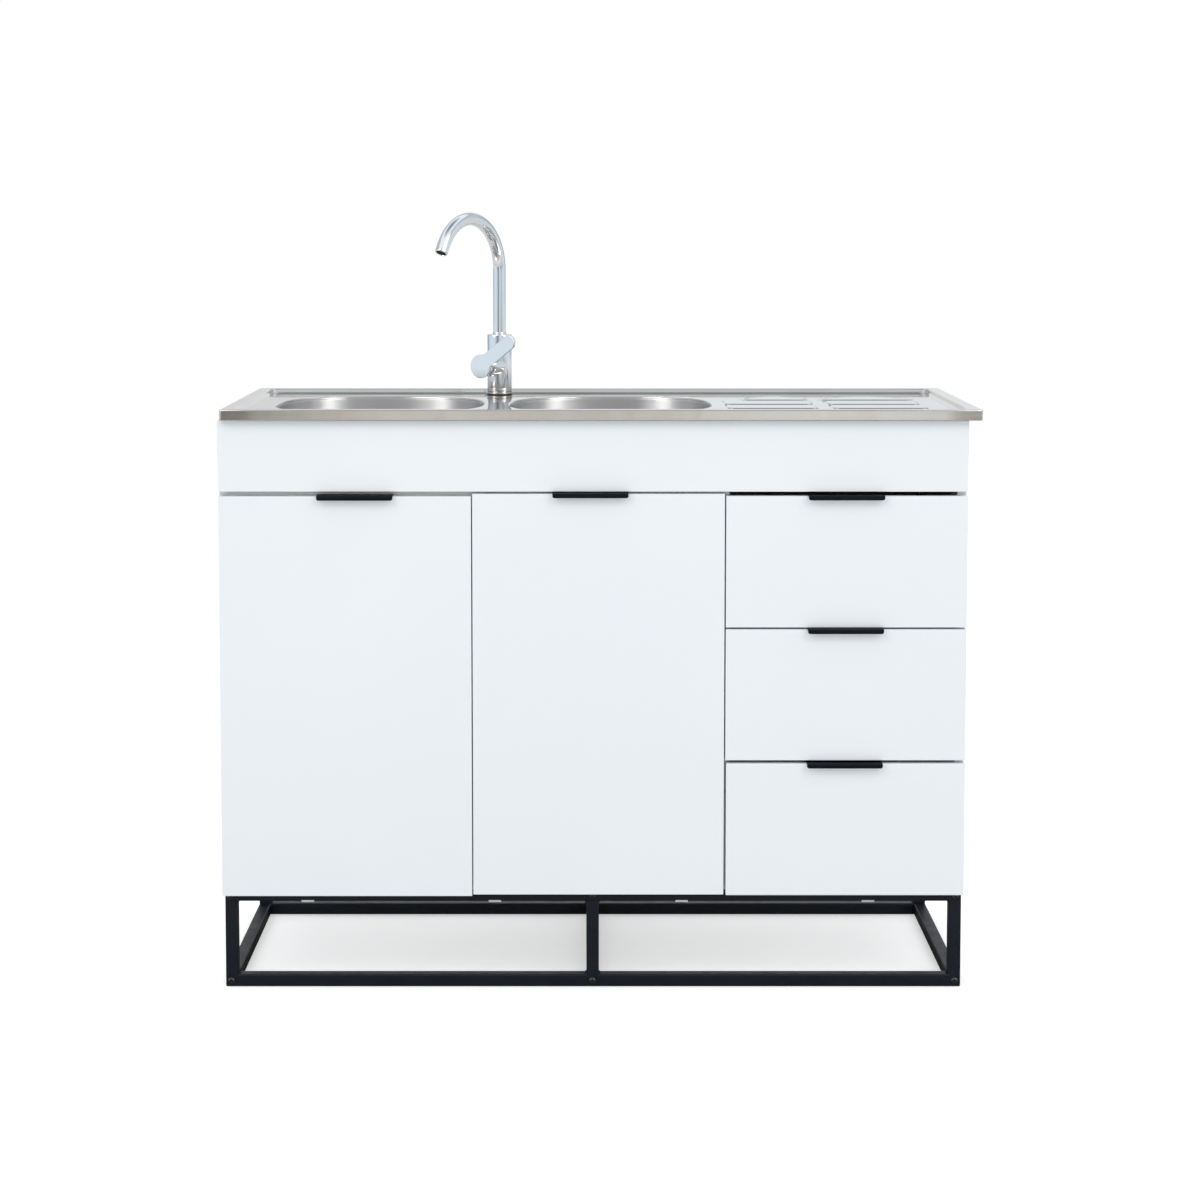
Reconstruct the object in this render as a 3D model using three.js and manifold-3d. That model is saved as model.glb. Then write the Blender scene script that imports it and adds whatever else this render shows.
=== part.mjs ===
// Kitchen sink unit: a pressed steel double-bowl sink top with a drainer on a white base cabinet with
// two doors and three drawers, standing on a black square-tube stand, with a single-lever swan-neck tap.
// Millimetres, +Z up, the front faces -Y, origin on the floor under the middle of the whole unit.
import * as THREE from 'three';
import { mergeVertices } from 'three/addons/utils/BufferGeometryUtils.js';
import Module from 'manifold-3d';

const wasm = await Module();
wasm.setup();

// ---------------------------------------------------------------- driving dimensions
const GAP = 0.3; // clearance kept between pieces that touch

// sink top
const SINK_X0 = -597.5, SINK_X1 = 602.5, SINK_Y0 = -250, SINK_Y1 = 250;
const RIM_TOP = 934.5, LIP_DEPTH = 17, RIM_WIDTH = 22, DECK_Z = 927, SHEET = 1.5;
const BOWL_Y = -21.5, BOWL_HALF_Y = 171.5, BOWL_SHEET = 1.2, BOWL_DEPTH = 150, BOWL_POWER = 2.6;
const LEFT_BOWL_X = -362, LEFT_BOWL_HALF = 170.5, RIGHT_BOWL_X = 19.5, RIGHT_BOWL_HALF = 166.5;
const WASTE_R = 44.5;
const PAD_HEIGHT = 2.2;
const PADS = [ // [x0, x1, y0, y1]
  [209, 355, -140, -72], [380, 533, -140, -72], [209, 354, -52, 22], [380, 530, -52, 22], [245, 352, 44, 115], [378, 528, 44, 115]];

// carcass
const CARC_X0 = -602.5, CARC_X1 = 582.5, CARC_Y0 = -220.5, CARC_Y1 = 225;
const BOARD = 15, CARC_Z0 = 160.3, CARC_Z1 = 917.2;
const PART_X0 = 192, PART_X1 = 207;
const FRONT_Y0 = -238, FRONT_Y1 = -222; // all fronts are 16 mm boards

// stand
const STAND_X0 = -601, STAND_X1 = 582, STAND_Y0 = -217, STAND_Y1 = 217, STAND_H = 160, TUBE = 20;
const POST_X = [-601, -20.3, 562];
const SCREW_X = [-592, -10.6, 572.3], SCREW_Z = [9.5, 147.5];
const CLIP_X = [-468.1, -167.4, 132.6, 432.1];

// fronts: [x0, x1, z0, z1]
const FASCIA = [-602.5, 582.5, 804, 917.2];
const LEFT_DOOR = [-602.5, -202.8, 154, 796.5];
const RIGHT_DOOR = [-201, 198.4, 156.5, 800.5];
const DRAWERS = [[200.6, 582.5, 587.5, 797], [200.6, 582.5, 374, 584.5], [202, 582.5, 155.5, 369]];
const HINGE_Z = [245, 708];

// handles
const PULL_LEN = 120, PULL_LIP = 7.6, PULL_OUT = 11.5, PULL_T = 1.8;
const LEFT_PULL_X = -386, RIGHT_PULL_X = -14, DRAWER_PULL_X = 390;

// drawer boxes and runners
const BOX_X0 = 220, BOX_X1 = 554.5, BOX_Y1 = 178, BOX_H = 150, BOX_WALL = 12, BOX_FLOOR = 5;
const BOX_Z = [602.5, 391, 190];
const RUNNER_LEN = 400, RUNNER_H = 30;

// tap
const TAP_X = -171.9, TAP_Y = 200, TAP_BODY_R = 21.2, TAP_BODY_H = 105, TAP_FLANGE_R = 22.5;
const NECK_R = 11, GOOSE_R = 88, TAP_TOP = 1244.3, GOOSE_ARC = 150, TAIL = 16;
const SPOUT_DIR = [-0.5417, -0.8406];
const HUB_DIR = [-0.556, -0.831], HUB_Z = 978.6, HOUSING_R = 19, HOUSING_L = 38.5;
const HUB_R = 20.4, HUB_S0 = 45.8, HUB_S1 = 58, PADDLE_L = 86, PADDLE_W = 25, PADDLE_T = 5, PADDLE_RISE = 35.6;

// ---------------------------------------------------------------- materials
const mat = (color, roughness, metalness) => new THREE.MeshStandardMaterial({ color, roughness, metalness });
const STEEL = () => mat(0xb9b8b4, 0.3, 1);
const BOWL_STEEL = () => mat(0xc2c1be, 0.35, 1);
const CHROME = () => mat(0xd8dadc, 0.06, 1);
const WHITE_BOARD = () => mat(0xf1f3f5, 0.35, 0);
const CARCASS_BOARD = () => mat(0xeceeef, 0.5, 0);
const BACK_BOARD = () => mat(0xe4e4e2, 0.7, 0);
const BLACK_STEEL = () => mat(0x1e222b, 0.5, 0.2);
const BLACK_PULL = () => mat(0x14171c, 0.45, 0.3);
const ZINC = () => mat(0xe6e8ea, 0.3, 1);
const RUNNER_WHITE = () => mat(0xe8e8e6, 0.45, 0);
const PIPE_WHITE = () => mat(0xe9e9e6, 0.4, 0);
const DARK_PLASTIC = () => mat(0x3a3c3e, 0.5, 0);

// ---------------------------------------------------------------- helpers
const group = new THREE.Group();

function add(name, geometry, material, parent = group) {
  geometry.computeVertexNormals();
  const mesh = new THREE.Mesh(geometry, material);
  mesh.name = name;
  parent.add(mesh);
  return mesh;
}

// joins the coincident vertices of a shape while it is still at its own origin
function weld(g) {
  for (const key of Object.keys(g.attributes)) if (key !== 'position') g.deleteAttribute(key);
  return mergeVertices(g, 1e-4);
}

// a board or block between two corners
function block(x0, x1, y0, y1, z0, z1) {
  const g = weld(new THREE.BoxGeometry(x1 - x0, y1 - y0, z1 - z0));
  g.translate((x0 + x1) / 2, (y0 + y1) / 2, (z0 + z1) / 2);
  return g;
}

function solid(g) {
  return new wasm.Manifold(new wasm.Mesh({
    numProp: 3,
    vertProperties: Float32Array.from(g.attributes.position.array),
    triVerts: Uint32Array.from(g.index.array),
  }));
}

function geometryOf(manifold) {
  const m = manifold.getMesh();
  const g = new THREE.BufferGeometry();
  g.setAttribute('position', new THREE.BufferAttribute(Float32Array.from(m.vertProperties), 3));
  g.setIndex(new THREE.BufferAttribute(Uint32Array.from(m.triVerts), 1));
  return g;
}

const join = (first, ...rest) => geometryOf(rest.reduce((m, g) => m.add(solid(g)), solid(first)));
const cut = (first, ...rest) => geometryOf(rest.reduce((m, g) => m.subtract(solid(g)), solid(first)));

// a turned piece about a vertical axis, from [radius, z] points
function turned(points, segments, x = 0, y = 0) {
  const g = weld(new THREE.LatheGeometry(points.map(([r, z]) => new THREE.Vector2(r, z)), segments));
  g.rotateX(Math.PI / 2);
  g.translate(x, y, 0);
  return g;
}

// a round bar between two points
function rod(a, b, radius, segments = 12) {
  const from = new THREE.Vector3(...a), to = new THREE.Vector3(...b);
  const g = weld(new THREE.CylinderGeometry(radius, radius, from.distanceTo(to), segments));
  const q = new THREE.Quaternion().setFromUnitVectors(new THREE.Vector3(0, 1, 0), to.clone().sub(from).normalize());
  g.applyQuaternion(q);
  const mid = from.add(to).multiplyScalar(0.5);
  g.translate(mid.x, mid.y, mid.z);
  return g;
}

// an outline in the YZ plane drawn out along X, centred on x
function profileX(points, x, width) {
  const shape = new THREE.Shape(points.map(([y, z]) => new THREE.Vector2(y, z)));
  const g = weld(new THREE.ExtrudeGeometry(shape, { depth: width, bevelEnabled: false }));
  g.applyMatrix4(new THREE.Matrix4().makeBasis(
    new THREE.Vector3(0, 1, 0), new THREE.Vector3(0, 0, 1), new THREE.Vector3(1, 0, 0)));
  g.translate(x - width / 2, 0, 0);
  return g;
}

// an outline in the XZ plane drawn out along Y from y0 to y1
function profileY(shape, y0, y1) {
  const g = weld(new THREE.ExtrudeGeometry(shape, { depth: y1 - y0, bevelEnabled: false }));
  g.applyMatrix4(new THREE.Matrix4().makeBasis(
    new THREE.Vector3(1, 0, 0), new THREE.Vector3(0, 0, 1), new THREE.Vector3(0, -1, 0)));
  g.translate(0, y1, 0);
  return g;
}

function roundedRect(x0, x1, y0, y1, r, perCorner = 3) {
  const pts = [];
  const corners = [[x1 - r, y0 + r, -90], [x1 - r, y1 - r, 0], [x0 + r, y1 - r, 90], [x0 + r, y0 + r, 180]];
  for (const [cx, cy, start] of corners) {
    for (let i = 0; i <= perCorner; i++) {
      const a = THREE.MathUtils.degToRad(start + 90 * i / perCorner);
      pts.push(new THREE.Vector2(cx + r * Math.cos(a), cy + r * Math.sin(a)));
    }
  }
  return new THREE.Shape(pts);
}

// ---------------------------------------------------------------- stand
// a welded frame: top and bottom rails with three posts between them
function ladder(y0, y1) {
  return join(
    block(STAND_X0, STAND_X1, y0, y1, 0, TUBE),
    block(STAND_X0, STAND_X1, y0, y1, STAND_H - TUBE, STAND_H),
    ...POST_X.map((x) => block(x, x + TUBE, y0, y1, TUBE / 2, STAND_H - TUBE / 2)));
}

const screwBores = [];
for (const x of SCREW_X) for (const z of SCREW_Z) {
  screwBores.push(rod([x, STAND_Y0 - 2, z], [x, STAND_Y0 + 37, z], 3.5, 8));
}
add('stand_front_frame', cut(ladder(STAND_Y0, STAND_Y0 + TUBE), ...screwBores), BLACK_STEEL());
add('stand_rear_frame', ladder(STAND_Y1 - TUBE, STAND_Y1), BLACK_STEEL());
['left', 'middle', 'right'].forEach((side, i) => {
  const x = POST_X[i];
  const y0 = STAND_Y0 + TUBE + GAP, y1 = STAND_Y1 - TUBE - GAP;
  add(`stand_${side}_bottom_rail`, cut(block(x, x + TUBE, y0, y1, 0, TUBE), screwBores[2 * i]), BLACK_STEEL());
  add(`stand_${side}_top_rail`, cut(block(x, x + TUBE, y0, y1, STAND_H - TUBE, STAND_H), screwBores[2 * i + 1]), BLACK_STEEL());
});

// button-head screws that hold the front frame to the depth rails
let screwNo = 0;
for (const z of SCREW_Z) for (const x of SCREW_X) {
  screwNo += 1;
  const g = weld(new THREE.LatheGeometry([
    [0, -36], [3, -36], [3, 0], [6, 0], [5.6, 1.5], [4, 2.5], [2, 2.9], [0, 2.9],
  ].map(([r, h]) => new THREE.Vector2(r, h)), 12));
  g.rotateX(Math.PI); // the head looks to the front
  g.translate(x, STAND_Y0 - GAP, z);
  add(`stand_screw_${screwNo}`, g, BLACK_STEEL());
}

// bent zinc clips that hook under the front top rail and hold the cabinet floor
CLIP_X.forEach((x, i) => {
  const yf = STAND_Y0, yb = STAND_Y0 + TUBE, zb = STAND_H - TUBE, t = 1.2, g = GAP;
  const pts = [
    [yf - g - t, zb - g - t], [yb + g + t, zb - g - t], [yb + g + t, STAND_H - t], [yb + 22, STAND_H - t], [yb + 22, STAND_H],
    [yb + g, STAND_H], [yb + g, zb - g], [yf - g, zb - g], [yf - g, zb + 2], [yf - g - t, zb + 2]];
  add(`stand_clip_${i + 1}`, profileX(pts, x, 20), ZINC());
});

// ---------------------------------------------------------------- carcass
const innerX0 = CARC_X0 + BOARD, innerX1 = CARC_X1 - BOARD;
const WASTE_OUT_Z = 627;
add('left_side_panel', block(CARC_X0, innerX0, CARC_Y0, CARC_Y1, CARC_Z0, CARC_Z1), CARCASS_BOARD());
add('right_side_panel', block(innerX1, CARC_X1, CARC_Y0, CARC_Y1, CARC_Z0, CARC_Z1), CARCASS_BOARD());
add('bottom_panel', block(innerX0 + GAP, innerX1 - GAP, CARC_Y0, CARC_Y1, CARC_Z0, CARC_Z0 + BOARD), CARCASS_BOARD());
add('partition_panel', block(PART_X0, PART_X1, CARC_Y0, CARC_Y1 - 4, CARC_Z0 + BOARD + GAP, CARC_Z1), CARCASS_BOARD());
add('back_panel', cut(
  block(innerX0 + GAP, innerX1 - GAP, CARC_Y1 - 3.7, CARC_Y1 - 0.7, CARC_Z0 + BOARD + GAP, CARC_Z1),
  rod([RIGHT_BOWL_X, 200, WASTE_OUT_Z], [RIGHT_BOWL_X, 260, WASTE_OUT_Z], 32, 20)), BACK_BOARD());
add('front_rail', block(innerX0 + GAP, PART_X0 - GAP, CARC_Y0, CARC_Y0 + BOARD, 779, DECK_Z - SHEET - GAP), CARCASS_BOARD());
add('rear_rail', cut(
  block(innerX0 + GAP, PART_X0 - GAP, 206, 221, 809, DECK_Z - SHEET - GAP),
  block(TAP_X - 28, TAP_X + 28, 200, 230, 859, 949)), CARCASS_BOARD());
add('fascia_panel', block(FASCIA[0], FASCIA[1], FRONT_Y0, FRONT_Y1, FASCIA[2], FASCIA[3]), WHITE_BOARD());

// ---------------------------------------------------------------- sink top
// outline of a bowl: a circle pressed towards a square with round corners
function squircle(x, y, cx, cy, aspect, inner, outer, power) {
  const dx = x - cx, dy = y - cy, r = Math.hypot(dx, dy);
  const k = THREE.MathUtils.smoothstep(r, inner, outer);
  const n = 2 + (power - 2) * k;
  const a = Math.atan2(dy, dx);
  const f = (Math.abs(Math.cos(a)) ** n + Math.abs(Math.sin(a)) ** n) ** (-1 / n);
  return [cx + dx * f, cy + dy * f * (1 + (aspect - 1) * k)];
}

function pressSquare(g, cx, cy, aspect) {
  const p = g.attributes.position;
  for (let i = 0; i < p.count; i++) {
    const [x, y] = squircle(p.getX(i), p.getY(i), cx, cy, aspect, 60, 120, BOWL_POWER);
    p.setXY(i, x, y);
  }
  return g;
}

function bowl(cx, half) {
  const aspect = BOWL_HALF_Y / half, top = DECK_Z - SHEET - GAP, low = DECK_Z - BOWL_DEPTH, t = BOWL_SHEET;
  const inner = [
    [half, top], [half - 1.5, top - 50], [half - 4, top - 108], [half - 10, low + 16], [half - 22, low + 5], [half - 42, low],
    [60, low - 3], [57, low - 4], [56, low - 8], [WASTE_R, low - 8]];
  const outer = [
    [WASTE_R, low - 8 - t], [57.2, low - 8 - t], [58.2, low - 4.6 - t], [60.6, low - 3 - t],
    [half - 41.6, low - t], [half - 21.2, low + 5 - t], [half - 9, low + 15.4], [half - 4 + t, top - 108.4],
    [half - 1.5 + t, top - 50], [half + t, top]];
  const pts = [...inner, ...outer, inner[0]];
  return pressSquare(turned(pts, 28, cx, BOWL_Y), cx, BOWL_Y, aspect);
}

add('left_bowl', bowl(LEFT_BOWL_X, LEFT_BOWL_HALF), BOWL_STEEL());
add('right_bowl', bowl(RIGHT_BOWL_X, RIGHT_BOWL_HALF), BOWL_STEEL());

function deck() {
  const lipZ = RIM_TOP - LIP_DEPTH, s = SHEET;
  const inX0 = SINK_X0 + RIM_WIDTH, inX1 = SINK_X1 - RIM_WIDTH, inY0 = SINK_Y0 + RIM_WIDTH, inY1 = SINK_Y1 - RIM_WIDTH;
  let m = solid(block(SINK_X0, SINK_X1, SINK_Y0, SINK_Y1, lipZ, RIM_TOP));
  // the sunk working surface
  m = m.subtract(solid(block(inX0, inX1, inY0, inY1, DECK_Z, RIM_TOP + 5)));
  // the hollow under the rim and the deck
  const under = solid(block(SINK_X0 + s, SINK_X1 - s, SINK_Y0 + s, SINK_Y1 - s, lipZ - 5, RIM_TOP - s))
    .subtract(solid(block(inX0 - s, inX1 + s, inY0 - s, inY1 + s, DECK_Z - s, RIM_TOP + 5)));
  m = m.subtract(under);
  // pads of the drainer
  for (const [x0, x1, y0, y1] of PADS) {
    const g = weld(new THREE.ExtrudeGeometry(roundedRect(x0, x1, y0, y1, 14), { depth: PAD_HEIGHT + 0.5, bevelEnabled: false }));
    g.translate(0, 0, DECK_Z - 0.5);
    m = m.add(solid(g));
  }
  // holes for the bowls and the tap
  for (const [cx, half] of [[LEFT_BOWL_X, LEFT_BOWL_HALF], [RIGHT_BOWL_X, RIGHT_BOWL_HALF]]) {
    const hole = turned([[0, DECK_Z - 10], [half, DECK_Z - 10], [half, DECK_Z + 10], [0, DECK_Z + 10]], 28, cx, BOWL_Y);
    m = m.subtract(solid(pressSquare(hole, cx, BOWL_Y, BOWL_HALF_Y / half)));
  }
  m = m.subtract(solid(rod([TAP_X, TAP_Y, DECK_Z - 10], [TAP_X, TAP_Y, DECK_Z + 10], 17.5, 16)));
  return geometryOf(m);
}
add('sink_deck', deck(), STEEL());

// lift-out basket strainers
function strainer(cx) {
  const z = DECK_Z - BOWL_DEPTH - 8 + GAP;
  return turned([
    [0, z - 24], [36, z - 24], [38, z - 22], [38.5, z], [50, z], [50.5, z + 1.6], [38, z + 2.4], [36.5, z], [35, z - 20],
    [4, z - 20], [4, z + 5], [9, z + 8], [9, z + 12], [6, z + 14], [0, z + 14]], 18, cx, BOWL_Y);
}
add('left_strainer', strainer(LEFT_BOWL_X), BOWL_STEEL());
add('right_strainer', strainer(RIGHT_BOWL_X), BOWL_STEEL());

// the two wastes, the pipe that joins them, the bottle trap and its outlet through the back
function wasteTrap() {
  const top = DECK_Z - BOWL_DEPTH - 8 - BOWL_SHEET - GAP, xl = LEFT_BOWL_X, xr = RIGHT_BOWL_X, y = BOWL_Y;
  let m = null;
  for (const x of [xl, xr]) {
    const cup = solid(turned([
      [0, top - 56], [23, top - 56], [23, top - 50], [43.5, top - 40], [43.5, top - 5], [54, top - 4], [54, top], [0, top]], 18, x, y));
    m = m ? m.add(cup) : cup;
  }
  m = m.add(solid(rod([xl, y, top - 100], [xl, y, top - 50], 20)));
  m = m.add(solid(weld(new THREE.SphereGeometry(23, 12, 8)).translate(xl, y, top - 100)));
  m = m.add(solid(rod([xl, y, top - 100], [xr, y, top - 106], 20)));
  m = m.add(solid(rod([xr, y, top - 130], [xr, y, top - 50], 22)));
  m = m.add(solid(turned([
    [0, top - 212], [30, top - 212], [36, top - 206], [38, top - 130], [30, top - 122], [0, top - 122]], 16, xr, y)));
  m = m.add(solid(rod([xr, y, WASTE_OUT_Z], [xr, 248, WASTE_OUT_Z], 20)));
  for (const x of [xl, xr]) {
    m = m.subtract(solid(turned([
      [0, top - 48], [18, top - 48], [41.5, top - 37], [41.5, top + 5], [0, top + 5]], 18, x, y)));
  }
  return geometryOf(m);
}
add('waste_trap', wasteTrap(), PIPE_WHITE());

// ---------------------------------------------------------------- tap
const tapBase = DECK_Z + GAP, bodyTop = tapBase + TAP_BODY_H;
const hub = new THREE.Vector3(HUB_DIR[0], HUB_DIR[1], 0).normalize();
const along = (s, z = HUB_Z) => [TAP_X + hub.x * s, TAP_Y + hub.y * s, z];
add('tap_body', join(
  turned([
    [0, 867], [15, 867], [15, tapBase], [TAP_FLANGE_R, tapBase], [TAP_FLANGE_R, tapBase + 10], [TAP_BODY_R, tapBase + 12],
    [TAP_BODY_R, bodyTop - 4], [19, bodyTop], [0, bodyTop]], 20, TAP_X, TAP_Y),
  rod(along(0), along(HOUSING_L), HOUSING_R, 20)), CHROME());
add('tap_cartridge_stem', rod(along(HOUSING_L + GAP), along(HUB_S0 - GAP), 13, 16), CHROME());

// the swan neck, turned to the front left
const spoutDir = new THREE.Vector3(SPOUT_DIR[0], SPOUT_DIR[1], 0).normalize();
const neckZ0 = bodyTop + GAP, gooseZ = TAP_TOP - NECK_R - GOOSE_R;
const spoutPoints = [];
for (let i = 0; i <= 3; i++) spoutPoints.push(new THREE.Vector3(TAP_X, TAP_Y, neckZ0 + (gooseZ - neckZ0) * i / 3));
let tangent;
for (let i = 1; i <= 18; i++) {
  const a = THREE.MathUtils.degToRad(GOOSE_ARC * i / 18);
  spoutPoints.push(new THREE.Vector3(TAP_X, TAP_Y, gooseZ)
    .addScaledVector(spoutDir, GOOSE_R - GOOSE_R * Math.cos(a)).add(new THREE.Vector3(0, 0, GOOSE_R * Math.sin(a))));
  tangent = spoutDir.clone().multiplyScalar(Math.sin(a)).add(new THREE.Vector3(0, 0, Math.cos(a)));
}
const spoutEnd = spoutPoints[spoutPoints.length - 1].clone().addScaledVector(tangent, TAIL);
spoutPoints.push(spoutEnd);
function spout() {
  const circle = [];
  for (let i = 0; i < 12; i++) circle.push(new THREE.Vector2(NECK_R * Math.cos(i * Math.PI / 6), NECK_R * Math.sin(i * Math.PI / 6)));
  const path = new THREE.CatmullRomCurve3(spoutPoints, false, 'centripetal');
  const tube = weld(new THREE.ExtrudeGeometry(new THREE.Shape(circle), { steps: 30, bevelEnabled: false, extrudePath: path }));
  const collar = turned([[0, neckZ0], [12.1, neckZ0], [12.1, neckZ0 + 2.5], [11.4, neckZ0 + 3.5], [0, neckZ0 + 3.5]], 16, TAP_X, TAP_Y);
  const mouth = rod(
    spoutEnd.clone().addScaledVector(tangent, -9).toArray(), spoutEnd.clone().addScaledVector(tangent, 5).toArray(), 8.6, 14);
  return geometryOf(solid(tube).add(solid(collar)).subtract(solid(mouth)));
}
add('tap_spout', spout(), CHROME());
add('tap_aerator', rod(
  spoutEnd.clone().addScaledVector(tangent, -8.5).toArray(), spoutEnd.clone().addScaledVector(tangent, -0.6).toArray(), 8.2, 14), DARK_PLASTIC());

// the lever: a round hub and a flat paddle that rises to the right in the plane of the hub
function lever() {
  const rise = THREE.MathUtils.degToRad(PADDLE_RISE), w = PADDLE_W / 2;
  const pts = [[0, -w], [PADDLE_L - w, -w]];
  for (let i = 1; i < 8; i++) {
    const a = -Math.PI / 2 + Math.PI * i / 8;
    pts.push([PADDLE_L - w + w * Math.cos(a), w * Math.sin(a)]);
  }
  pts.push([PADDLE_L - w, w], [0, w]);
  const paddle = weld(new THREE.ExtrudeGeometry(
    new THREE.Shape(pts.map(([x, y]) => new THREE.Vector2(x, y))), { depth: PADDLE_T, bevelEnabled: false }));
  paddle.translate(0, 0, HUB_S1 - PADDLE_T);
  paddle.rotateZ(rise);
  const disc = weld(new THREE.CylinderGeometry(HUB_R, HUB_R - 2, HUB_S1 - HUB_S0, 32));
  disc.rotateX(Math.PI / 2);
  disc.translate(0, 0, (HUB_S0 + HUB_S1) / 2);
  const g = join(disc, paddle);
  g.applyMatrix4(new THREE.Matrix4().makeBasis(
    new THREE.Vector3(-hub.y, hub.x, 0), new THREE.Vector3(0, 0, 1), hub));
  g.translate(TAP_X, TAP_Y, HUB_Z);
  return g;
}
add('tap_lever', lever(), CHROME());

// ---------------------------------------------------------------- doors
// a door board with two blind cup bores in its back
function door([x0, x1, z0, z1], cupX) {
  return cut(block(x0, x1, FRONT_Y0, FRONT_Y1, z0, z1),
    ...HINGE_Z.map((z) => rod([cupX, FRONT_Y1 - 12, z], [cupX, FRONT_Y1 + 5, z], 17.5, 20)));
}
add('left_door', door(LEFT_DOOR, LEFT_DOOR[0] + 22.5), WHITE_BOARD());
add('right_door', door(RIGHT_DOOR, RIGHT_DOOR[1] - 22.5), WHITE_BOARD());

// hinge arm and its plate, screwed to the inner face of the panel; dir points into the sink bay
function hinge(x, dir, z) {
  const g1 = [x, x + dir * 3].sort((a, b) => a - b), g2 = [x + dir * 2, x + dir * 17].sort((a, b) => a - b);
  return join(
    block(g1[0], g1[1], -196, -160, z - 26, z + 26),
    block(g2[0], g2[1], -219.5, -152, z - 8, z + 8));
}
HINGE_Z.forEach((z, i) => {
  const level = i ? 'top' : 'bottom';
  add(`left_door_${level}_hinge`, hinge(innerX0 + GAP, 1, z), ZINC());
  add(`right_door_${level}_hinge`, hinge(PART_X0 - GAP, -1, z), ZINC());
});

// edge pull: a flange on the top edge of the front, and a lip that hangs in front of it
function pull(x, top) {
  const z = top + GAP, t = PULL_T, y0 = FRONT_Y0 - PULL_OUT;
  return profileX([
    [FRONT_Y1 - 1, z], [FRONT_Y1 - 1, z + t], [y0, z + t], [y0, z + t - PULL_LIP], [y0 + t, z + t - PULL_LIP], [y0 + t, z]], x, PULL_LEN);
}
add('left_door_pull', pull(LEFT_PULL_X, LEFT_DOOR[3]), BLACK_PULL());
add('right_door_pull', pull(RIGHT_PULL_X, RIGHT_DOOR[3]), BLACK_PULL());

// ---------------------------------------------------------------- drawers
DRAWERS.forEach(([x0, x1, z0, z1], i) => {
  const n = i + 1, bz = BOX_Z[i], by0 = FRONT_Y1 + GAP;
  add(`drawer_${n}_front`, block(x0, x1, FRONT_Y0, FRONT_Y1, z0, z1), WHITE_BOARD());
  add(`drawer_${n}_pull`, pull(DRAWER_PULL_X, z1), BLACK_PULL());
  add(`drawer_${n}_box`, cut(
    block(BOX_X0, BOX_X1, by0, BOX_Y1, bz, bz + BOX_H),
    block(BOX_X0 + BOX_WALL, BOX_X1 - BOX_WALL, by0 + BOX_WALL, BOX_Y1 - BOX_WALL, bz + BOX_FLOOR, bz + BOX_H + 5)), CARCASS_BOARD());
  // cabinet-side members of the roller runners
  for (const [side, x, dir] of [['left', PART_X1 + GAP, 1], ['right', innerX1 - GAP, -1]]) {
    const p = [[0, 0], [8.5, 0], [8.5, 4], [7.3, 4], [7.3, 1.4], [1.2, 1.4], [1.2, RUNNER_H - 1.4], [5, RUNNER_H - 1.4], [5, RUNNER_H], [0, RUNNER_H]];
    const pts = p.map(([a, b]) => new THREE.Vector2(x + dir * a, bz + 6 + b));
    if (dir < 0) pts.reverse();
    add(`drawer_${n}_${side}_runner`, profileY(new THREE.Shape(pts), CARC_Y0 + 2, CARC_Y0 + 2 + RUNNER_LEN), RUNNER_WHITE());
  }
});

export default group;
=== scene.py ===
# Kitchen sink unit: a pressed steel double-bowl sink top with a drainer on a white base cabinet, on a black
# square-tube stand, with a single-lever swan-neck tap. Metres, +Z up, the front faces -Y. Shapes are worked out in
# millimetres and scaled when a piece is made.
import math

import bmesh
import bpy
from mathutils import Matrix, Vector
from mathutils.geometry import delaunay_2d_cdt


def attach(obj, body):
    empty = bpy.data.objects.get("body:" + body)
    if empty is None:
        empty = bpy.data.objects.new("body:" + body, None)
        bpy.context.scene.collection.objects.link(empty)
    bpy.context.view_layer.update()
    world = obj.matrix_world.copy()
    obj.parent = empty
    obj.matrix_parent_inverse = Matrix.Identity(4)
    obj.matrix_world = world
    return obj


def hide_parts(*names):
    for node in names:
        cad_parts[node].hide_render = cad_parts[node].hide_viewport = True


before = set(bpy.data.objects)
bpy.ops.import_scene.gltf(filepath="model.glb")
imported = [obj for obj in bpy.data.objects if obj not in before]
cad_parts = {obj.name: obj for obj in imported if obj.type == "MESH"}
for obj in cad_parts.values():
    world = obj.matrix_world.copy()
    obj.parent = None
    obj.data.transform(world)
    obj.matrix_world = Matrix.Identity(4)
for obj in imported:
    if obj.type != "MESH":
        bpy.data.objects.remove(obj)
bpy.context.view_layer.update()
scene = bpy.context.scene

# ------------------------------------------------------------------ driving dimensions, in millimetres
SINK_X0, SINK_X1, SINK_Y0, SINK_Y1 = -597.5, 602.5, -250.0, 250.0
RIM_TOP, LIP, RIM_WIDTH, DECK_Z = 934.5, 17.0, 22.0, 927.0
BOWL_Y, BOWL_HALF_Y, BOWL_DEPTH = -21.5, 171.5, 150.0
BOWLS = {"left": (-362.0, 170.5), "right": (19.5, 166.5)}
SHOULDER = 3.0
WASTE_R = 44.5
# x0, x1, y0, y1, and whether the back edge is bowed
PADS = [(209.0, 355.0, -140.0, -72.0, False), (380.0, 533.0, -140.0, -72.0, False), (209.0, 354.0, -52.0, 22.0, False),
        (380.0, 530.0, -52.0, 22.0, False), (245.0, 352.0, 44.0, 115.0, True), (378.0, 528.0, 44.0, 115.0, True)]
PAD_RISE = 2.2

CARC_X0, CARC_X1, CARC_Y0, CARC_Y1 = -602.5, 582.5, -220.5, 225.0
BOARD, CARC_Z0, CARC_Z1 = 15.0, 160.3, 917.2
PART_X0, PART_X1 = 192.0, 207.0
FRONT_Y0, FRONT_Y1 = -238.0, -222.0

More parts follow.
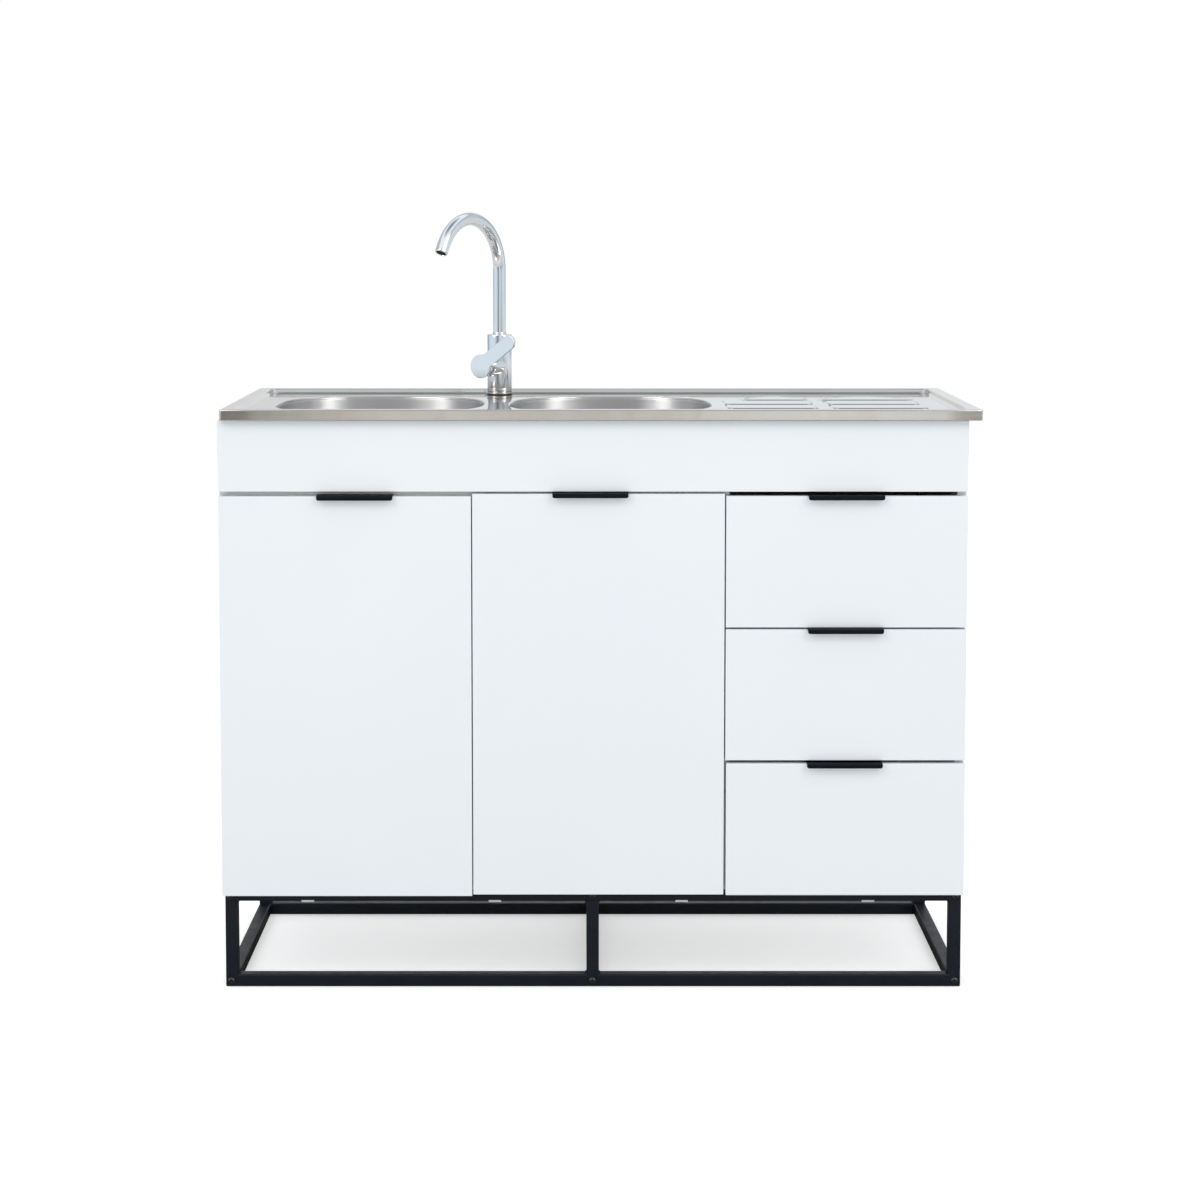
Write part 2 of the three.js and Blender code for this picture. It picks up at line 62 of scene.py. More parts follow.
STAND_X0, STAND_X1, STAND_Y0, STAND_Y1, STAND_H, TUBE = -601.0, 582.0, -217.0, 217.0, 160.0, 20.0
POST_X = (-601.0, -20.3, 562.0)
SCREW_X, SCREW_Z = (-592.0, -10.6, 572.3), (9.5, 147.5)
CLIP_X = (-468.1, -167.4, 132.6, 432.1)

FASCIA_Z = (804.0, 917.2)
DOORS = {"left": (-602.5, -202.8, 154.0, 796.5), "right": (-201.0, 198.4, 156.5, 800.5)}
DRAWERS = [(200.6, 582.5, 587.5, 797.0), (200.6, 582.5, 374.0, 584.5), (202.0, 582.5, 155.5, 369.0)]
HINGE_Z = (245.0, 708.0)
PULL_LEN, PULL_LIP, PULL_OUT, PULL_T = 120.0, 7.6, 11.5, 1.8
PULLS = {"left_door": -386.0, "right_door": -14.0, "drawer": 390.0}

BOX_X0, BOX_X1, BOX_Y1, BOX_H = 220.0, 554.5, 178.0, 150.0
BOX_Z = (602.5, 391.0, 190.0)
OUTLET_Z = 627.0

TAP_X, TAP_Y = -171.9, 200.0
TAP_BASE, TAP_BODY_TOP = 927.3, 1032.3
NECK_R, GOOSE_R, TAP_TOP, GOOSE_ARC, TAIL = 11.0, 88.0, 1244.0, 150.0, 15.8
SPOUT_DIR = Vector((-0.5417, -0.8406, 0.0)).normalized()
HUB_DIR = Vector((-0.556, -0.831, 0.0)).normalized()
HUB_Z, HUB_R, HUB_BACK, HUB_FACE = 978.6, 20.4, 45.8, 58.0
PADDLE, PADDLE_W, PADDLE_RISE = 86.0, 25.0, 35.6


# ------------------------------------------------------------------ materials
class Finish:
    """A material with a Principled shader, and short names for the nodes that it is made of."""

    def __init__(self, name, **constants):
        self.mat = bpy.data.materials.new(name)
        self.mat.use_nodes = True
        self.tree = self.mat.node_tree
        self.shader = self.tree.nodes["Principled BSDF"]
        self.normal = None
        for key, value in constants.items():
            socket = self.shader.inputs[key.replace("_", " ")]
            socket.default_value = (*value, 1.0) if isinstance(value, tuple) and len(value) == 3 else value

    def node(self, kind, **props):
        n = self.tree.nodes.new(kind)
        for key, value in props.items():
            setattr(n, key, value)
        return n

    def link(self, a, b):
        self.tree.links.new(a, b)

    def place(self, scale=(1, 1, 1), turn=(0, 0, 0)):
        coord, mapping = self.node("ShaderNodeTexCoord"), self.node("ShaderNodeMapping")
        mapping.inputs["Scale"].default_value = scale
        mapping.inputs["Rotation"].default_value = turn
        self.link(coord.outputs["Object"], mapping.inputs["Vector"])
        return mapping.outputs["Vector"]

    def noise(self, where, scale, detail=3.0, rough=0.5, twist=0.0):
        n = self.node("ShaderNodeTexNoise")
        n.inputs["Scale"].default_value = scale
        n.inputs["Detail"].default_value = detail
        n.inputs["Roughness"].default_value = rough
        n.inputs["Distortion"].default_value = twist
        self.link(where, n.inputs["Vector"])
        return n.outputs["Fac"]

    def cells(self, where, scale, feature="F1", output="Distance"):
        n = self.node("ShaderNodeTexVoronoi", feature=feature)
        n.inputs["Scale"].default_value = scale
        self.link(where, n.inputs["Vector"])
        return n.outputs[output]

    def ramp(self, value, stops, kind="EASE"):
        n = self.node("ShaderNodeValToRGB")
        n.color_ramp.interpolation = kind
        while len(n.color_ramp.elements) < len(stops):
            n.color_ramp.elements.new(0.5)
        for element, (position, colour) in zip(n.color_ramp.elements, stops):
            element.position = position
            element.color = (*colour, 1.0) if isinstance(colour, tuple) else (colour, colour, colour, 1.0)
        self.link(value, n.inputs["Fac"])
        return n.outputs["Color"]

    def span(self, value, low, high, start=0.25, end=0.75):
        """value from start..end becomes low..high"""
        n = self.node("ShaderNodeMapRange")
        n.inputs["From Min"].default_value, n.inputs["From Max"].default_value = start, end
        n.inputs["To Min"].default_value, n.inputs["To Max"].default_value = low, high
        self.link(value, n.inputs["Value"])
        return n.outputs["Result"]

    def math(self, kind, a, b=0.5):
        n = self.node("ShaderNodeMath", operation=kind)
        for socket, value in zip(n.inputs, (a, b)):
            if isinstance(value, (int, float)):
                socket.default_value = value
            else:
                self.link(value, socket)
        return n.outputs[0]

    def mix(self, share, a, b, kind="MIX"):
        n = self.node("ShaderNodeMix", data_type="RGBA", blend_type=kind)
        for socket, value in ((n.inputs[0], share), (n.inputs[6], a), (n.inputs[7], b)):
            if isinstance(value, (int, float)):
                socket.default_value = value
            elif isinstance(value, tuple):
                socket.default_value = (*value, 1.0)
            else:
                self.link(value, socket)
        return n.outputs[2]

    def colour(self, value):
        self.link(value, self.shader.inputs["Base Color"])

    def roughness(self, value):
        self.link(value, self.shader.inputs["Roughness"])

    def bump(self, height, strength, distance):
        n = self.node("ShaderNodeBump")
        n.inputs["Strength"].default_value = strength
        n.inputs["Distance"].default_value = distance
        self.link(height, n.inputs["Height"])
        if self.normal:
            self.link(self.normal, n.inputs["Normal"])
        self.normal = n.outputs["Normal"]
        self.link(self.normal, self.shader.inputs["Normal"])


def white_front():
    f = Finish("white_front", Metallic=0.0, IOR=1.47)
    p = f.place()
    cloud = f.noise(p, 2.2, 2.0)
    f.colour(f.ramp(cloud, [(0.3, (0.825, 0.862, 0.888)), (0.7, (0.845, 0.876, 0.896))]))
    f.roughness(f.span(f.noise(p, 35.0, 3.0), 0.30, 0.37))
    f.bump(f.noise(p, 420.0, 2.0), 0.06, 0.0003)
    f.bump(f.noise(p, 6.0, 1.0), 0.05, 0.002)
    return f.mat


def board_white(name, light, dark, rough):
    f = Finish(name, Metallic=0.0, IOR=1.45)
    p = f.place()
    f.colour(f.ramp(f.noise(p, 5.0, 3.0), [(0.3, dark), (0.7, light)]))
    f.roughness(f.span(f.noise(p, 60.0, 3.0), rough - 0.05, rough + 0.06))
    f.bump(f.noise(p, 900.0, 3.0), 0.12, 0.0002)
    return f.mat


def chipboard():
    f = Finish("chipboard_edge", Metallic=0.0, Roughness=0.85)
    p = f.place((1, 1, 1))
    flakes = f.cells(p, 620.0, output="Color")
    grey = f.node("ShaderNodeRGBToBW")
    f.link(flakes, grey.inputs[0])
    tone = f.mix(0.45, f.ramp(grey.outputs[0], [(0.1, (0.30, 0.20, 0.11)), (0.5, (0.55, 0.41, 0.25)), (0.95, (0.72, 0.58, 0.39))]),
                 f.ramp(f.noise(p, 1500.0, 4.0), [(0.35, (0.25, 0.16, 0.09)), (0.65, (0.72, 0.60, 0.42))]))
    f.colour(tone)
    f.bump(f.cells(p, 620.0), 0.6, 0.0006)
    f.bump(f.noise(p, 2000.0, 3.0), 0.4, 0.0003)
    return f.mat


def hardboard():
    f = Finish("back_board", Metallic=0.0)
    p = f.place()
    f.colour(f.ramp(f.noise(p, 9.0, 4.0), [(0.3, (0.695, 0.686, 0.660)), (0.7, (0.722, 0.716, 0.692))]))
    f.roughness(f.span(f.noise(p, 120.0, 3.0), 0.58, 0.75))
    f.bump(f.noise(p, 1300.0, 4.0), 0.25, 0.0003)
    return f.mat


def powder_black(name, low, high, rough, grain, sheen=0.3):
    f = Finish(name, Metallic=0.0, IOR=1.5, Specular_IOR_Level=sheen)
    p = f.place()
    f.colour(f.ramp(f.noise(p, 14.0, 3.0), [(0.3, low), (0.7, high)]))
    f.roughness(f.span(f.noise(p, 45.0, 4.0), rough - 0.06, rough + 0.07))
    f.bump(f.noise(p, grain, 2.0), 0.22, 0.0002)
    return f.mat


def zinc(name="zinc_plated", metal=1.0, matt=0.0):
    f = Finish(name, Metallic=metal)
    p = f.place()
    cells = f.cells(p, 210.0, output="Color")
    grey = f.node("ShaderNodeRGBToBW")
    f.link(cells, grey.inputs[0])
    f.colour(f.ramp(grey.outputs[0], [(0.1, (0.66, 0.68, 0.69)), (0.9, (0.80, 0.81, 0.80))]))
    f.roughness(f.span(grey.outputs[0], 0.22 + matt, 0.36 + matt, 0.1, 0.9))
    f.bump(f.noise(p, 800.0, 3.0), 0.1, 0.0002)
    return f.mat


def sink_steel():
    f = Finish("sink_steel", Metallic=1.0)
    fine = f.place((9.0, 900.0, 900.0))
    long = f.place((2.5, 120.0, 120.0))
    soft = f.place((7.0, 7.0, 30.0))
    streak = f.noise(fine, 1.0, 4.0, 0.6)
    band = f.noise(long, 1.0, 3.0)
    cloud = f.noise(soft, 1.0, 3.0, 0.6, 0.6)
    base = f.ramp(cloud, [(0.32, (0.640, 0.612, 0.580)), (0.68, (0.690, 0.668, 0.640))])
    f.colour(f.mix(0.06, base, f.ramp(streak, [(0.3, (0.45, 0.44, 0.42)), (0.7, (0.86, 0.85, 0.83))])))
    f.roughness(f.math("ADD", f.span(streak, 0.055, 0.085), f.span(band, -0.01, 0.02)))
    f.bump(streak, 0.005, 0.00006)
    f.bump(f.noise(f.place((10.0, 10.0, 26.0)), 1.0, 2.0), 0.06, 0.0010)
    return f.mat


def lip_steel():
    f = Finish("sink_lip_steel", Metallic=1.0)
    fine = f.place((9.0, 900.0, 900.0))
    streak = f.noise(fine, 1.0, 4.0, 0.6)
    patch = f.noise(f.place((26.0, 3.0, 18.0)), 1.0, 3.0, 0.55, 0.8)
    tint = f.noise(f.place((13.0, 2.0, 9.0)), 1.0, 2.0, 0.5, 0.5)
    base = f.mix(f.span(tint, 0.0, 1.0, 0.35, 0.65), (0.640, 0.590, 0.535), (0.655, 0.640, 0.615))
    base = f.mix(f.span(patch, 0.0, 0.55, 0.30, 0.70), base, (0.735, 0.715, 0.685))
    f.colour(f.mix(0.06, base, f.ramp(streak, [(0.3, (0.45, 0.44, 0.42)), (0.7, (0.86, 0.85, 0.83))])))
    f.roughness(f.span(streak, 0.10, 0.16))
    f.bump(streak, 0.10, 0.00008)
    f.bump(f.noise(f.place((14.0, 3.0, 9.0)), 1.0, 2.0), 0.12, 0.0010)
    return f.mat


def bowl_steel():
    f = Finish("bowl_steel", Metallic=1.0, Anisotropic=0.94, Anisotropic_Rotation=0.25)
    fine = f.place((14.0, 14.0, 1300.0))
    streak = f.noise(fine, 1.0, 4.0, 0.6)
    cloud = f.noise(f.place(), 11.0, 3.0)
    base = f.ramp(cloud, [(0.3, (0.680, 0.660, 0.640)), (0.7, (0.730, 0.712, 0.695))])
    f.colour(f.mix(0.08, base, f.ramp(streak, [(0.3, (0.42, 0.41, 0.40)), (0.7, (0.84, 0.84, 0.84))])))
    f.roughness(f.span(streak, 0.38, 0.45))
    f.bump(streak, 0.12, 0.00012)
    return f.mat


def chrome():
    f = Finish("chrome", Metallic=1.0)
    p = f.place()
    plating = f.ramp(f.noise(p, 40.0, 2.0), [(0.3, (0.845, 0.875, 0.905)), (0.7, (0.870, 0.895, 0.920))])
    # a darker, warmer tint near the deck stands in for the dark shapes that the plating mirrors there
    split = f.node("ShaderNodeSeparateXYZ")
    f.link(p, split.inputs[0])
    low = f.span(split.outputs["Z"], 0.0, 1.0, 0.932, 0.976)
    f.colour(f.mix(low, (0.43, 0.41, 0.39), plating))
    f.roughness(f.span(f.noise(p, 30.0, 3.0), 0.03, 0.06))
    f.bump(f.noise(p, 9.0, 1.0), 0.02, 0.0006)
    return f.mat


def moulded(name, low, high, rough, grain=900.0):
    f = Finish(name, Metallic=0.0, IOR=1.48)
    p = f.place()
    f.colour(f.ramp(f.noise(p, 18.0, 3.0), [(0.3, low), (0.7, high)]))
    f.roughness(f.span(f.noise(p, 150.0, 3.0), rough - 0.05, rough + 0.06))
    f.bump(f.noise(p, grain, 2.0), 0.12, 0.0002)
    return f.mat


def brass():
    f = Finish("brass_thread", Metallic=1.0)
    p = f.place()
    f.colour(f.ramp(f.noise(p, 60.0, 3.0), [(0.3, (0.62, 0.45, 0.20)), (0.7, (0.74, 0.57, 0.30))]))
    f.roughness(f.span(f.noise(p, 200.0, 3.0), 0.25, 0.42))
    return f.mat


M = {
    "white_front": white_front(),
    "carcass": board_white("carcass_board", (0.80, 0.80, 0.785), (0.77, 0.775, 0.765), 0.42),
    "drawer": board_white("drawer_board", (0.77, 0.77, 0.755), (0.74, 0.745, 0.735), 0.48),
    "chip": chipboard(),
    "back": hardboard(),
    "stand": powder_black("black_stand", (0.0022, 0.0058, 0.0130), (0.0034, 0.0076, 0.0155), 0.44, 1500.0, 0.42),
    "pull": powder_black("black_pull", (0.0022, 0.0032, 0.0078), (0.0034, 0.0048, 0.0105), 0.42, 2200.0, 0.14),
    "screw": powder_black("black_screw", (0.0100, 0.0105, 0.0120), (0.0140, 0.0150, 0.0170), 0.27, 1800.0, 0.75),
    "zinc": zinc(),
    "clip": zinc("zinc_clip", 0.35, 0.25),
    "steel": sink_steel(),
    "lip": lip_steel(),
    "bowl": bowl_steel(),
    "chrome": chrome(),
    "pipe": moulded("white_plastic", (0.74, 0.74, 0.71), (0.80, 0.80, 0.775), 0.36),
    "runner": moulded("runner_white", (0.74, 0.735, 0.71), (0.79, 0.785, 0.765), 0.38, 1600.0),
    "nylon": moulded("nylon_roller", (0.70, 0.70, 0.67), (0.78, 0.78, 0.76), 0.30),
    "dark": moulded("dark_plastic", (0.022, 0.023, 0.025), (0.034, 0.035, 0.037), 0.45),
    "rubber": moulded("rubber_seal", (0.012, 0.012, 0.013), (0.020, 0.020, 0.021), 0.70),
    "brass": brass(),
}


# ------------------------------------------------------------------ mesh helpers
def absorb(bm, tmp):
    mesh = bpy.data.meshes.new("scratch")
    tmp.to_mesh(mesh)
    tmp.free()
    bm.from_mesh(mesh)
    bpy.data.meshes.remove(mesh)


def add_box(bm, low, high, r=0.8, seg=2, mat=0, along=None, paint=None):
    """A block with rounded edges. along leaves the two faces across that axis sharp. paint gives a face its material."""
    tmp = bmesh.new()
    bmesh.ops.create_cube(tmp, size=1.0)
    for v in tmp.verts:
        v.co = Vector([low[i] + (v.co[i] + 0.5) * (high[i] - low[i]) for i in range(3)])
    edges = [e for e in tmp.edges
             if along is None or abs((e.verts[0].co - e.verts[1].co)[along]) > 1e-6]
    if r:
        bmesh.ops.bevel(tmp, geom=edges, offset=r, segments=seg, profile=0.5, affect="EDGES", clamp_overlap=True)
    for f in tmp.faces:
        f.smooth = True
        f.material_index = mat
        if paint:
            f.material_index = paint(f.calc_center_median(), f.normal, mat)
    absorb(bm, tmp)


def basis(origin, z, x=None):
    """A matrix that takes local Z to the direction z, at origin."""
    z = Vector(z).normalized()
    x = Vector(x) if x is not None else (Vector((1, 0, 0)) if abs(z.x) < 0.9 else Vector((0, 1, 0)))
    y = z.cross(x).normalized()
    x = y.cross(z).normalized()
    m = Matrix((x, y, z)).transposed().to_4x4()
    m.translation = Vector(origin)
    return m


def add_lathe(bm, profile, seg=48, at=None, mat=0, closed=False, shape=None, mats=None):
    """A turned piece from (radius, height) points. at places it. shape(angle, index) scales the radius."""
    tmp = bmesh.new()
    rings = []
    for k, (r, h) in enumerate(profile):
        if abs(r) < 1e-6:
            rings.append([tmp.verts.new((0, 0, h))])
            continue
        ring = []
        for i in range(seg):
            a = 2 * math.pi * i / seg
            s = shape(a, k) if shape else 1.0
            ring.append(tmp.verts.new((r * s * math.cos(a), r * s * math.sin(a), h)))
        rings.append(ring)
    pairs = list(zip(range(len(rings) - 1), range(1, len(rings))))
    if closed:
        pairs.append((len(rings) - 1, 0))
    for a, b in pairs:
        ra, rb = rings[a], rings[b]
        m = mats[a] if mats else mat
        for i in range(seg):
            j = (i + 1) % seg
            if len(ra) == 1 and len(rb) == 1:
                continue
            if len(ra) == 1:
                f = tmp.faces.new((ra[0], rb[i], rb[j]))
            elif len(rb) == 1:
                f = tmp.faces.new((ra[i], rb[0], ra[j]))
            else:
                f = tmp.faces.new((ra[i], rb[i], rb[j], ra[j]))
            f.smooth = True
            f.material_index = m
    bmesh.ops.recalc_face_normals(tmp, faces=tmp.faces)
    if at is not None:
        bmesh.ops.transform(tmp, matrix=at, verts=tmp.verts)
    absorb(bm, tmp)


def frames_along(path):
    """Parallel frames along a polyline."""
    n = len(path)
    tangents = [(path[min(i + 1, n - 1)] - path[max(i - 1, 0)]).normalized() for i in range(n)]
    t = tangents[0]
    u = t.cross(Vector((0, 0, 1)))
    if u.length < 1e-3:
        u = t.cross(Vector((0, 1, 0)))
    u.normalize()
    out = []
    for i in range(n):
        if i:
            turn = tangents[i - 1].rotation_difference(tangents[i])
            u = turn @ u
        v = tangents[i].cross(u).normalized()
        out.append((path[i], tangents[i], u.normalized(), v))
    return out


def add_sweep(bm, path, radius, seg=24, mat=0, squash=None):
    """A round bar along a polyline, closed at both ends. radius is a number or radius(index)."""
    tmp = bmesh.new()
    rings = []
    for k, (p, t, u, v) in enumerate(frames_along([Vector(q) for q in path])):
        r = radius(k) if callable(radius) else radius
        rings.append([tmp.verts.new(p + (u * math.cos(2 * math.pi * i / seg) + v * math.sin(2 * math.pi * i / seg)) * r)
                      for i in range(seg)])
    for ra, rb in zip(rings, rings[1:]):
        for i in range(seg):
            j = (i + 1) % seg
            tmp.faces.new((ra[i], ra[j], rb[j], rb[i]))
    tmp.faces.new(list(reversed(rings[0])))
    tmp.faces.new(rings[-1])
    for f in tmp.faces:
        f.smooth = True
        f.material_index = mat
    bmesh.ops.recalc_face_normals(tmp, faces=tmp.faces)
    absorb(bm, tmp)


def add_prism(bm, outline, depth, at, bevel=0.3, seg=2, mat=0):
    """An outline in local XY drawn out along local Z, with both rims rounded."""
    tmp = bmesh.new()
    low = [tmp.verts.new((x, y, 0)) for x, y in outline]
    high = [tmp.verts.new((x, y, depth)) for x, y in outline]
    tmp.faces.new(list(reversed(low)))
    tmp.faces.new(high)
    n = len(outline)
    for i in range(n):
        j = (i + 1) % n
        tmp.faces.new((low[i], low[j], high[j], high[i]))
    bmesh.ops.recalc_face_normals(tmp, faces=tmp.faces)
    if bevel:
        rims = [e for e in tmp.edges if abs(e.verts[0].co.z - e.verts[1].co.z) < 1e-6]
        bmesh.ops.bevel(tmp, geom=rims, offset=bevel, segments=seg, profile=0.5, affect="EDGES", clamp_overlap=True)
    for f in tmp.faces:
        f.smooth = True
        f.material_index = mat
    bmesh.ops.transform(tmp, matrix=at, verts=tmp.verts)
    absorb(bm, tmp)


def add_strip(bm, line, width, thick, at, mat=0, trim=None):
    """Bent sheet metal: a line in local XY, thickened to both sides, drawn out along local Z. trim(index, z) moves a
    point of the line, as (dx, dy), to shape the ends."""
    tmp = bmesh.new()
    pts = [Vector((x, y, 0)) for x, y in line]
    n = len(pts)
    normals = []
    for i in range(n):
        a = (pts[i] - pts[i - 1]).normalized() if i else (pts[1] - pts[0]).normalized()
        b = (pts[i + 1] - pts[i]).normalized() if i < n - 1 else a
        t = (a + b).normalized()
        normals.append(Vector((-t.y, t.x, 0)) / max(0.5, t.dot(a)))
    steps = width if isinstance(width, list) else [-width / 2, width / 2]
    rows = []
    for z in steps:
        ring = []
        for side in (1, -1):
            order = range(n) if side > 0 else range(n - 1, -1, -1)
            for i in order:
                q = pts[i] + normals[i] * side * thick / 2
                if trim:
                    dx, dy = trim(i, z)
                    q = q + Vector((dx, dy, 0))
                ring.append(tmp.verts.new((q.x, q.y, z)))
        rows.append(ring)
    m = 2 * n
    for ra, rb in zip(rows, rows[1:]):
        for i in range(m):
            j = (i + 1) % m
            tmp.faces.new((ra[i], ra[j], rb[j], rb[i]))
    for row, flip in ((rows[0], False), (rows[-1], True)):
        for i in range(n - 1):
            quad = [row[i], row[i + 1], row[m - 2 - i], row[m - 1 - i]]
            tmp.faces.new(quad if flip else list(reversed(quad)))
    bmesh.ops.recalc_face_normals(tmp, faces=tmp.faces)
    for f in tmp.faces:
        f.smooth = True
        f.material_index = mat
    bmesh.ops.transform(tmp, matrix=at, verts=tmp.verts)
    absorb(bm, tmp)


def bend(points, radius, steps=5):
    """A polyline with its corners rounded."""
    out = [points[0]]
    for a, b, c in zip(points, points[1:], points[2:]):
        a, b, c = Vector(a), Vector(b), Vector(c)
        u, v = (a - b).normalized(), (c - b).normalized()
        half = u.angle(v) / 2
        d = min(radius / math.tan(half), (a - b).length * 0.49, (c - b).length * 0.49)
        r = d * math.tan(half)
        centre = b + (u + v).normalized() * (r / math.sin(half))
        s, e = b + u * d - centre, b + v * d - centre
        total = s.angle(e)
        for k in range(steps + 1):
            w = k / steps
            q = (s * math.sin((1 - w) * total) + e * math.sin(w * total)) / math.sin(total)
            out.append(tuple(centre + q))
    out.append(points[-1])
    return out


def rounded(x0, x1, y0, y1, r, per=6):
    pts = []
    for cx, cy, start in ((x1 - r, y0 + r, -90), (x1 - r, y1 - r, 0), (x0 + r, y1 - r, 90), (x0 + r, y0 + r, 180)):
        for i in range(per + 1):
            a = math.radians(start + 90 * i / per)
            pts.append((cx + r * math.cos(a), cy + r * math.sin(a)))
    return pts


def piece(name, bm, mats, body, stands_for=(), angle=38.0, weighted=False):
    bmesh.ops.scale(bm, vec=(0.001, 0.001, 0.001), verts=bm.verts)
    mesh = bpy.data.meshes.new(name)
    bm.to_mesh(mesh)
    bm.free()
    for m in mats:
        mesh.materials.append(M[m])
    mesh.set_sharp_from_angle(angle=math.radians(angle))
    obj = bpy.data.objects.new(name, mesh)
    scene.collection.objects.link(obj)
    if weighted:
        w = obj.modifiers.new("weighted", "WEIGHTED_NORMAL")
        w.keep_sharp = True
        w.weight = 100
    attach(obj, body)
    if stands_for:
        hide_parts(*stands_for)
    return obj


def bake_modifiers(obj):
    dg = bpy.context.evaluated_depsgraph_get()
    mesh = bpy.data.meshes.new_from_object(obj.evaluated_get(dg))
    obj.modifiers.clear()
    obj.data = mesh


def carve(obj, cutters):
    """Cuts closed meshes, in millimetres, out of a piece."""
    made = []
    for k, bm in enumerate(cutters):
        bmesh.ops.scale(bm, vec=(0.001, 0.001, 0.001), verts=bm.verts)
        mesh = bpy.data.meshes.new(f"cutter_{k}")
        bm.to_mesh(mesh)
        bm.free()
        cutter = bpy.data.objects.new(f"cutter_{k}", mesh)
        scene.collection.objects.link(cutter)
        made.append(cutter)
        mod = obj.modifiers.new("cut", "BOOLEAN")
        mod.operation, mod.solver, mod.object = "DIFFERENCE", "EXACT", cutter
    kept = [(m.name, m.type) for m in obj.modifiers if m.type != "BOOLEAN"]
    for name, _ in kept:
        obj.modifiers.remove(obj.modifiers[name])
    bpy.context.view_layer.update()
    bake_modifiers(obj)
    for cutter in made:
        bpy.data.objects.remove(cutter)
    if any(kind == "WEIGHTED_NORMAL" for _, kind in kept):
        w = obj.modifiers.new("weighted", "WEIGHTED_NORMAL")
        w.keep_sharp = True
        w.weight = 100


# ------------------------------------------------------------------ stand
def weld_bead(bm, a, b, r, seed):
    """A short run of weld in an inside corner: a bar whose thickness ripples."""
    a, b = Vector(a), Vector(b)
    n = 13
    path = [a.lerp(b, i / (n - 1)) for i in range(n)]

    def ripple(k):
        ends = 0.45 if k in (0, n - 1) else 1.0
        return r * ends * (1.0 + 0.16 * math.sin(2.4 * k + seed) + 0.07 * math.sin(5.1 * k + 2 * seed))
    add_sweep(bm, path, ripple, seg=10)


def ladder(name, y0, node):
    bm = bmesh.new()
    y1 = y0 + TUBE
    for z0 in (0.0, STAND_H - TUBE):
        add_box(bm, (STAND_X0, y0, z0), (STAND_X1, y1, z0 + TUBE), r=2.0, seg=4)
    for k, x in enumerate(POST_X):
        add_box(bm, (x, y0, TUBE - 1.6), (x + TUBE, y1, STAND_H - TUBE + 1.6), r=2.0, seg=4, along=2)
        for z, s in ((TUBE, 1), (STAND_H - TUBE, -1)):
            for xx, side in ((x, -1), (x + TUBE, 1)):
                if (k == 0 and side < 0) or (k == 2 and side > 0):
                    continue
                weld_bead(bm, (xx + side * 0.5, y0 + 3.0, z + s * 0.5), (xx + side * 0.5, y1 - 3.0, z + s * 0.5), 1.9, k + z)
    return piece(name, bm, ["stand"], "cabinet", [node], weighted=True)


front = ladder("front_frame_tubes", STAND_Y0, "stand_front_frame")
rear = ladder("rear_frame_tubes", STAND_Y1 - TUBE, "stand_rear_frame")


def hex_scale(a, flats=2.0, outer=1.0):
    k = (a % (math.pi / 3)) - math.pi / 6
    return 1.0 / math.cos(k)


SCREW_PROFILE = [(0.0, -14.0), (2.2, -14.0), (2.9, -13.2), (2.9, 0.0), (5.75, 0.0), (6.0, 0.25), (6.0, 0.55), (5.65, 1.35),
                 (4.9, 2.1), (3.9, 2.6), (2.75, 2.85), (1.95, 2.9), (1.80, 2.75), (1.75, 0.9), (0.0, 0.75)]


def add_screw(bm, at):
    add_lathe(bm, SCREW_PROFILE, seg=36, at=at, shape=lambda a, k: hex_scale(a) if k in (11, 12, 13) else 1.0)


def bore_cutter(x, y, z, r=3.4, depth=30.0, seg=20):
    bm = bmesh.new()
    add_lathe(bm, [(0, -depth), (r, -depth), (r, depth), (0, depth)], seg=seg, at=basis((x, y, z), (0, 1, 0)))
    return bm


n = 0
for z in SCREW_Z:
    for x in SCREW_X:
        n += 1
        bm = bmesh.new()
        add_screw(bm, basis((x, STAND_Y0 - 0.3, z), (0, -1, 0)))
        piece(f"front_screw_{n}", bm, ["screw"], "cabinet", [f"stand_screw_{n}"], angle=30)
        bm = bmesh.new()
        add_screw(bm, basis((x, STAND_Y1 + 0.2, z), (0, 1, 0)))
        piece(f"rear_screw_{n}", bm, ["screw"], "cabinet", angle=30)

for side, x in zip(("left", "middle", "right"), POST_X):
    for level, z0 in (("bottom", 0.0), ("top", STAND_H - TUBE)):
        bm = bmesh.new()
        y0, y1 = STAND_Y0 + TUBE + 0.3, STAND_Y1 - TUBE - 0.3
        add_box(bm, (x, y0, z0), (x + TUBE, y1, z0 + TUBE), r=2.0, seg=4, along=1)
        piece(f"{side}_{level}_depth_tube", bm, ["stand"], "cabinet", [f"stand_{side}_{level}_rail"],
              weighted=True)

# bent zinc clips that hook under the front top rail
for k, x in enumerate(CLIP_X):
    bm = bmesh.new()
    yf, yb, zb, t = STAND_Y0, STAND_Y0 + TUBE, STAND_H - TUBE, 1.2
    h = t / 2
    line = bend([(yf - 0.3 - h, zb + 2.0), (yf - 0.3 - h, zb - 0.3 - h), (yb + 0.3 + h, zb - 0.3 - h),
                 (yb + 0.3 + h, STAND_H - h), (yb + 22, STAND_H - h)], 1.3, 4)
    line = [(p[0], p[1]) for p in line]
    # local X is the world's Y, local Y its Z, local Z its X
    at = Matrix(((0, 0, 1, x), (1, 0, 0, 0), (0, 1, 0, 0), (0, 0, 0, 1)))
    steps = [-10.0, -9.4, 9.4, 10.0]
    add_strip(bm, line, steps, t, at)
    piece(f"clip_{k + 1}", bm, ["clip"], "cabinet", [f"stand_clip_{k + 1}"], angle=45)


# ------------------------------------------------------------------ carcass boards
def board(name, low, high, node, mats=("carcass", "chip"), body="cabinet", raw=None, r=0.5, seg=2):
    bm = bmesh.new()

    def paint(c, nrm, mat):
        return 1 if raw and raw(c, nrm) else mat
    add_box(bm, low, high, r=r, seg=seg, paint=paint if raw else None)
    return piece(name, bm, list(mats), body, [node], weighted=True)


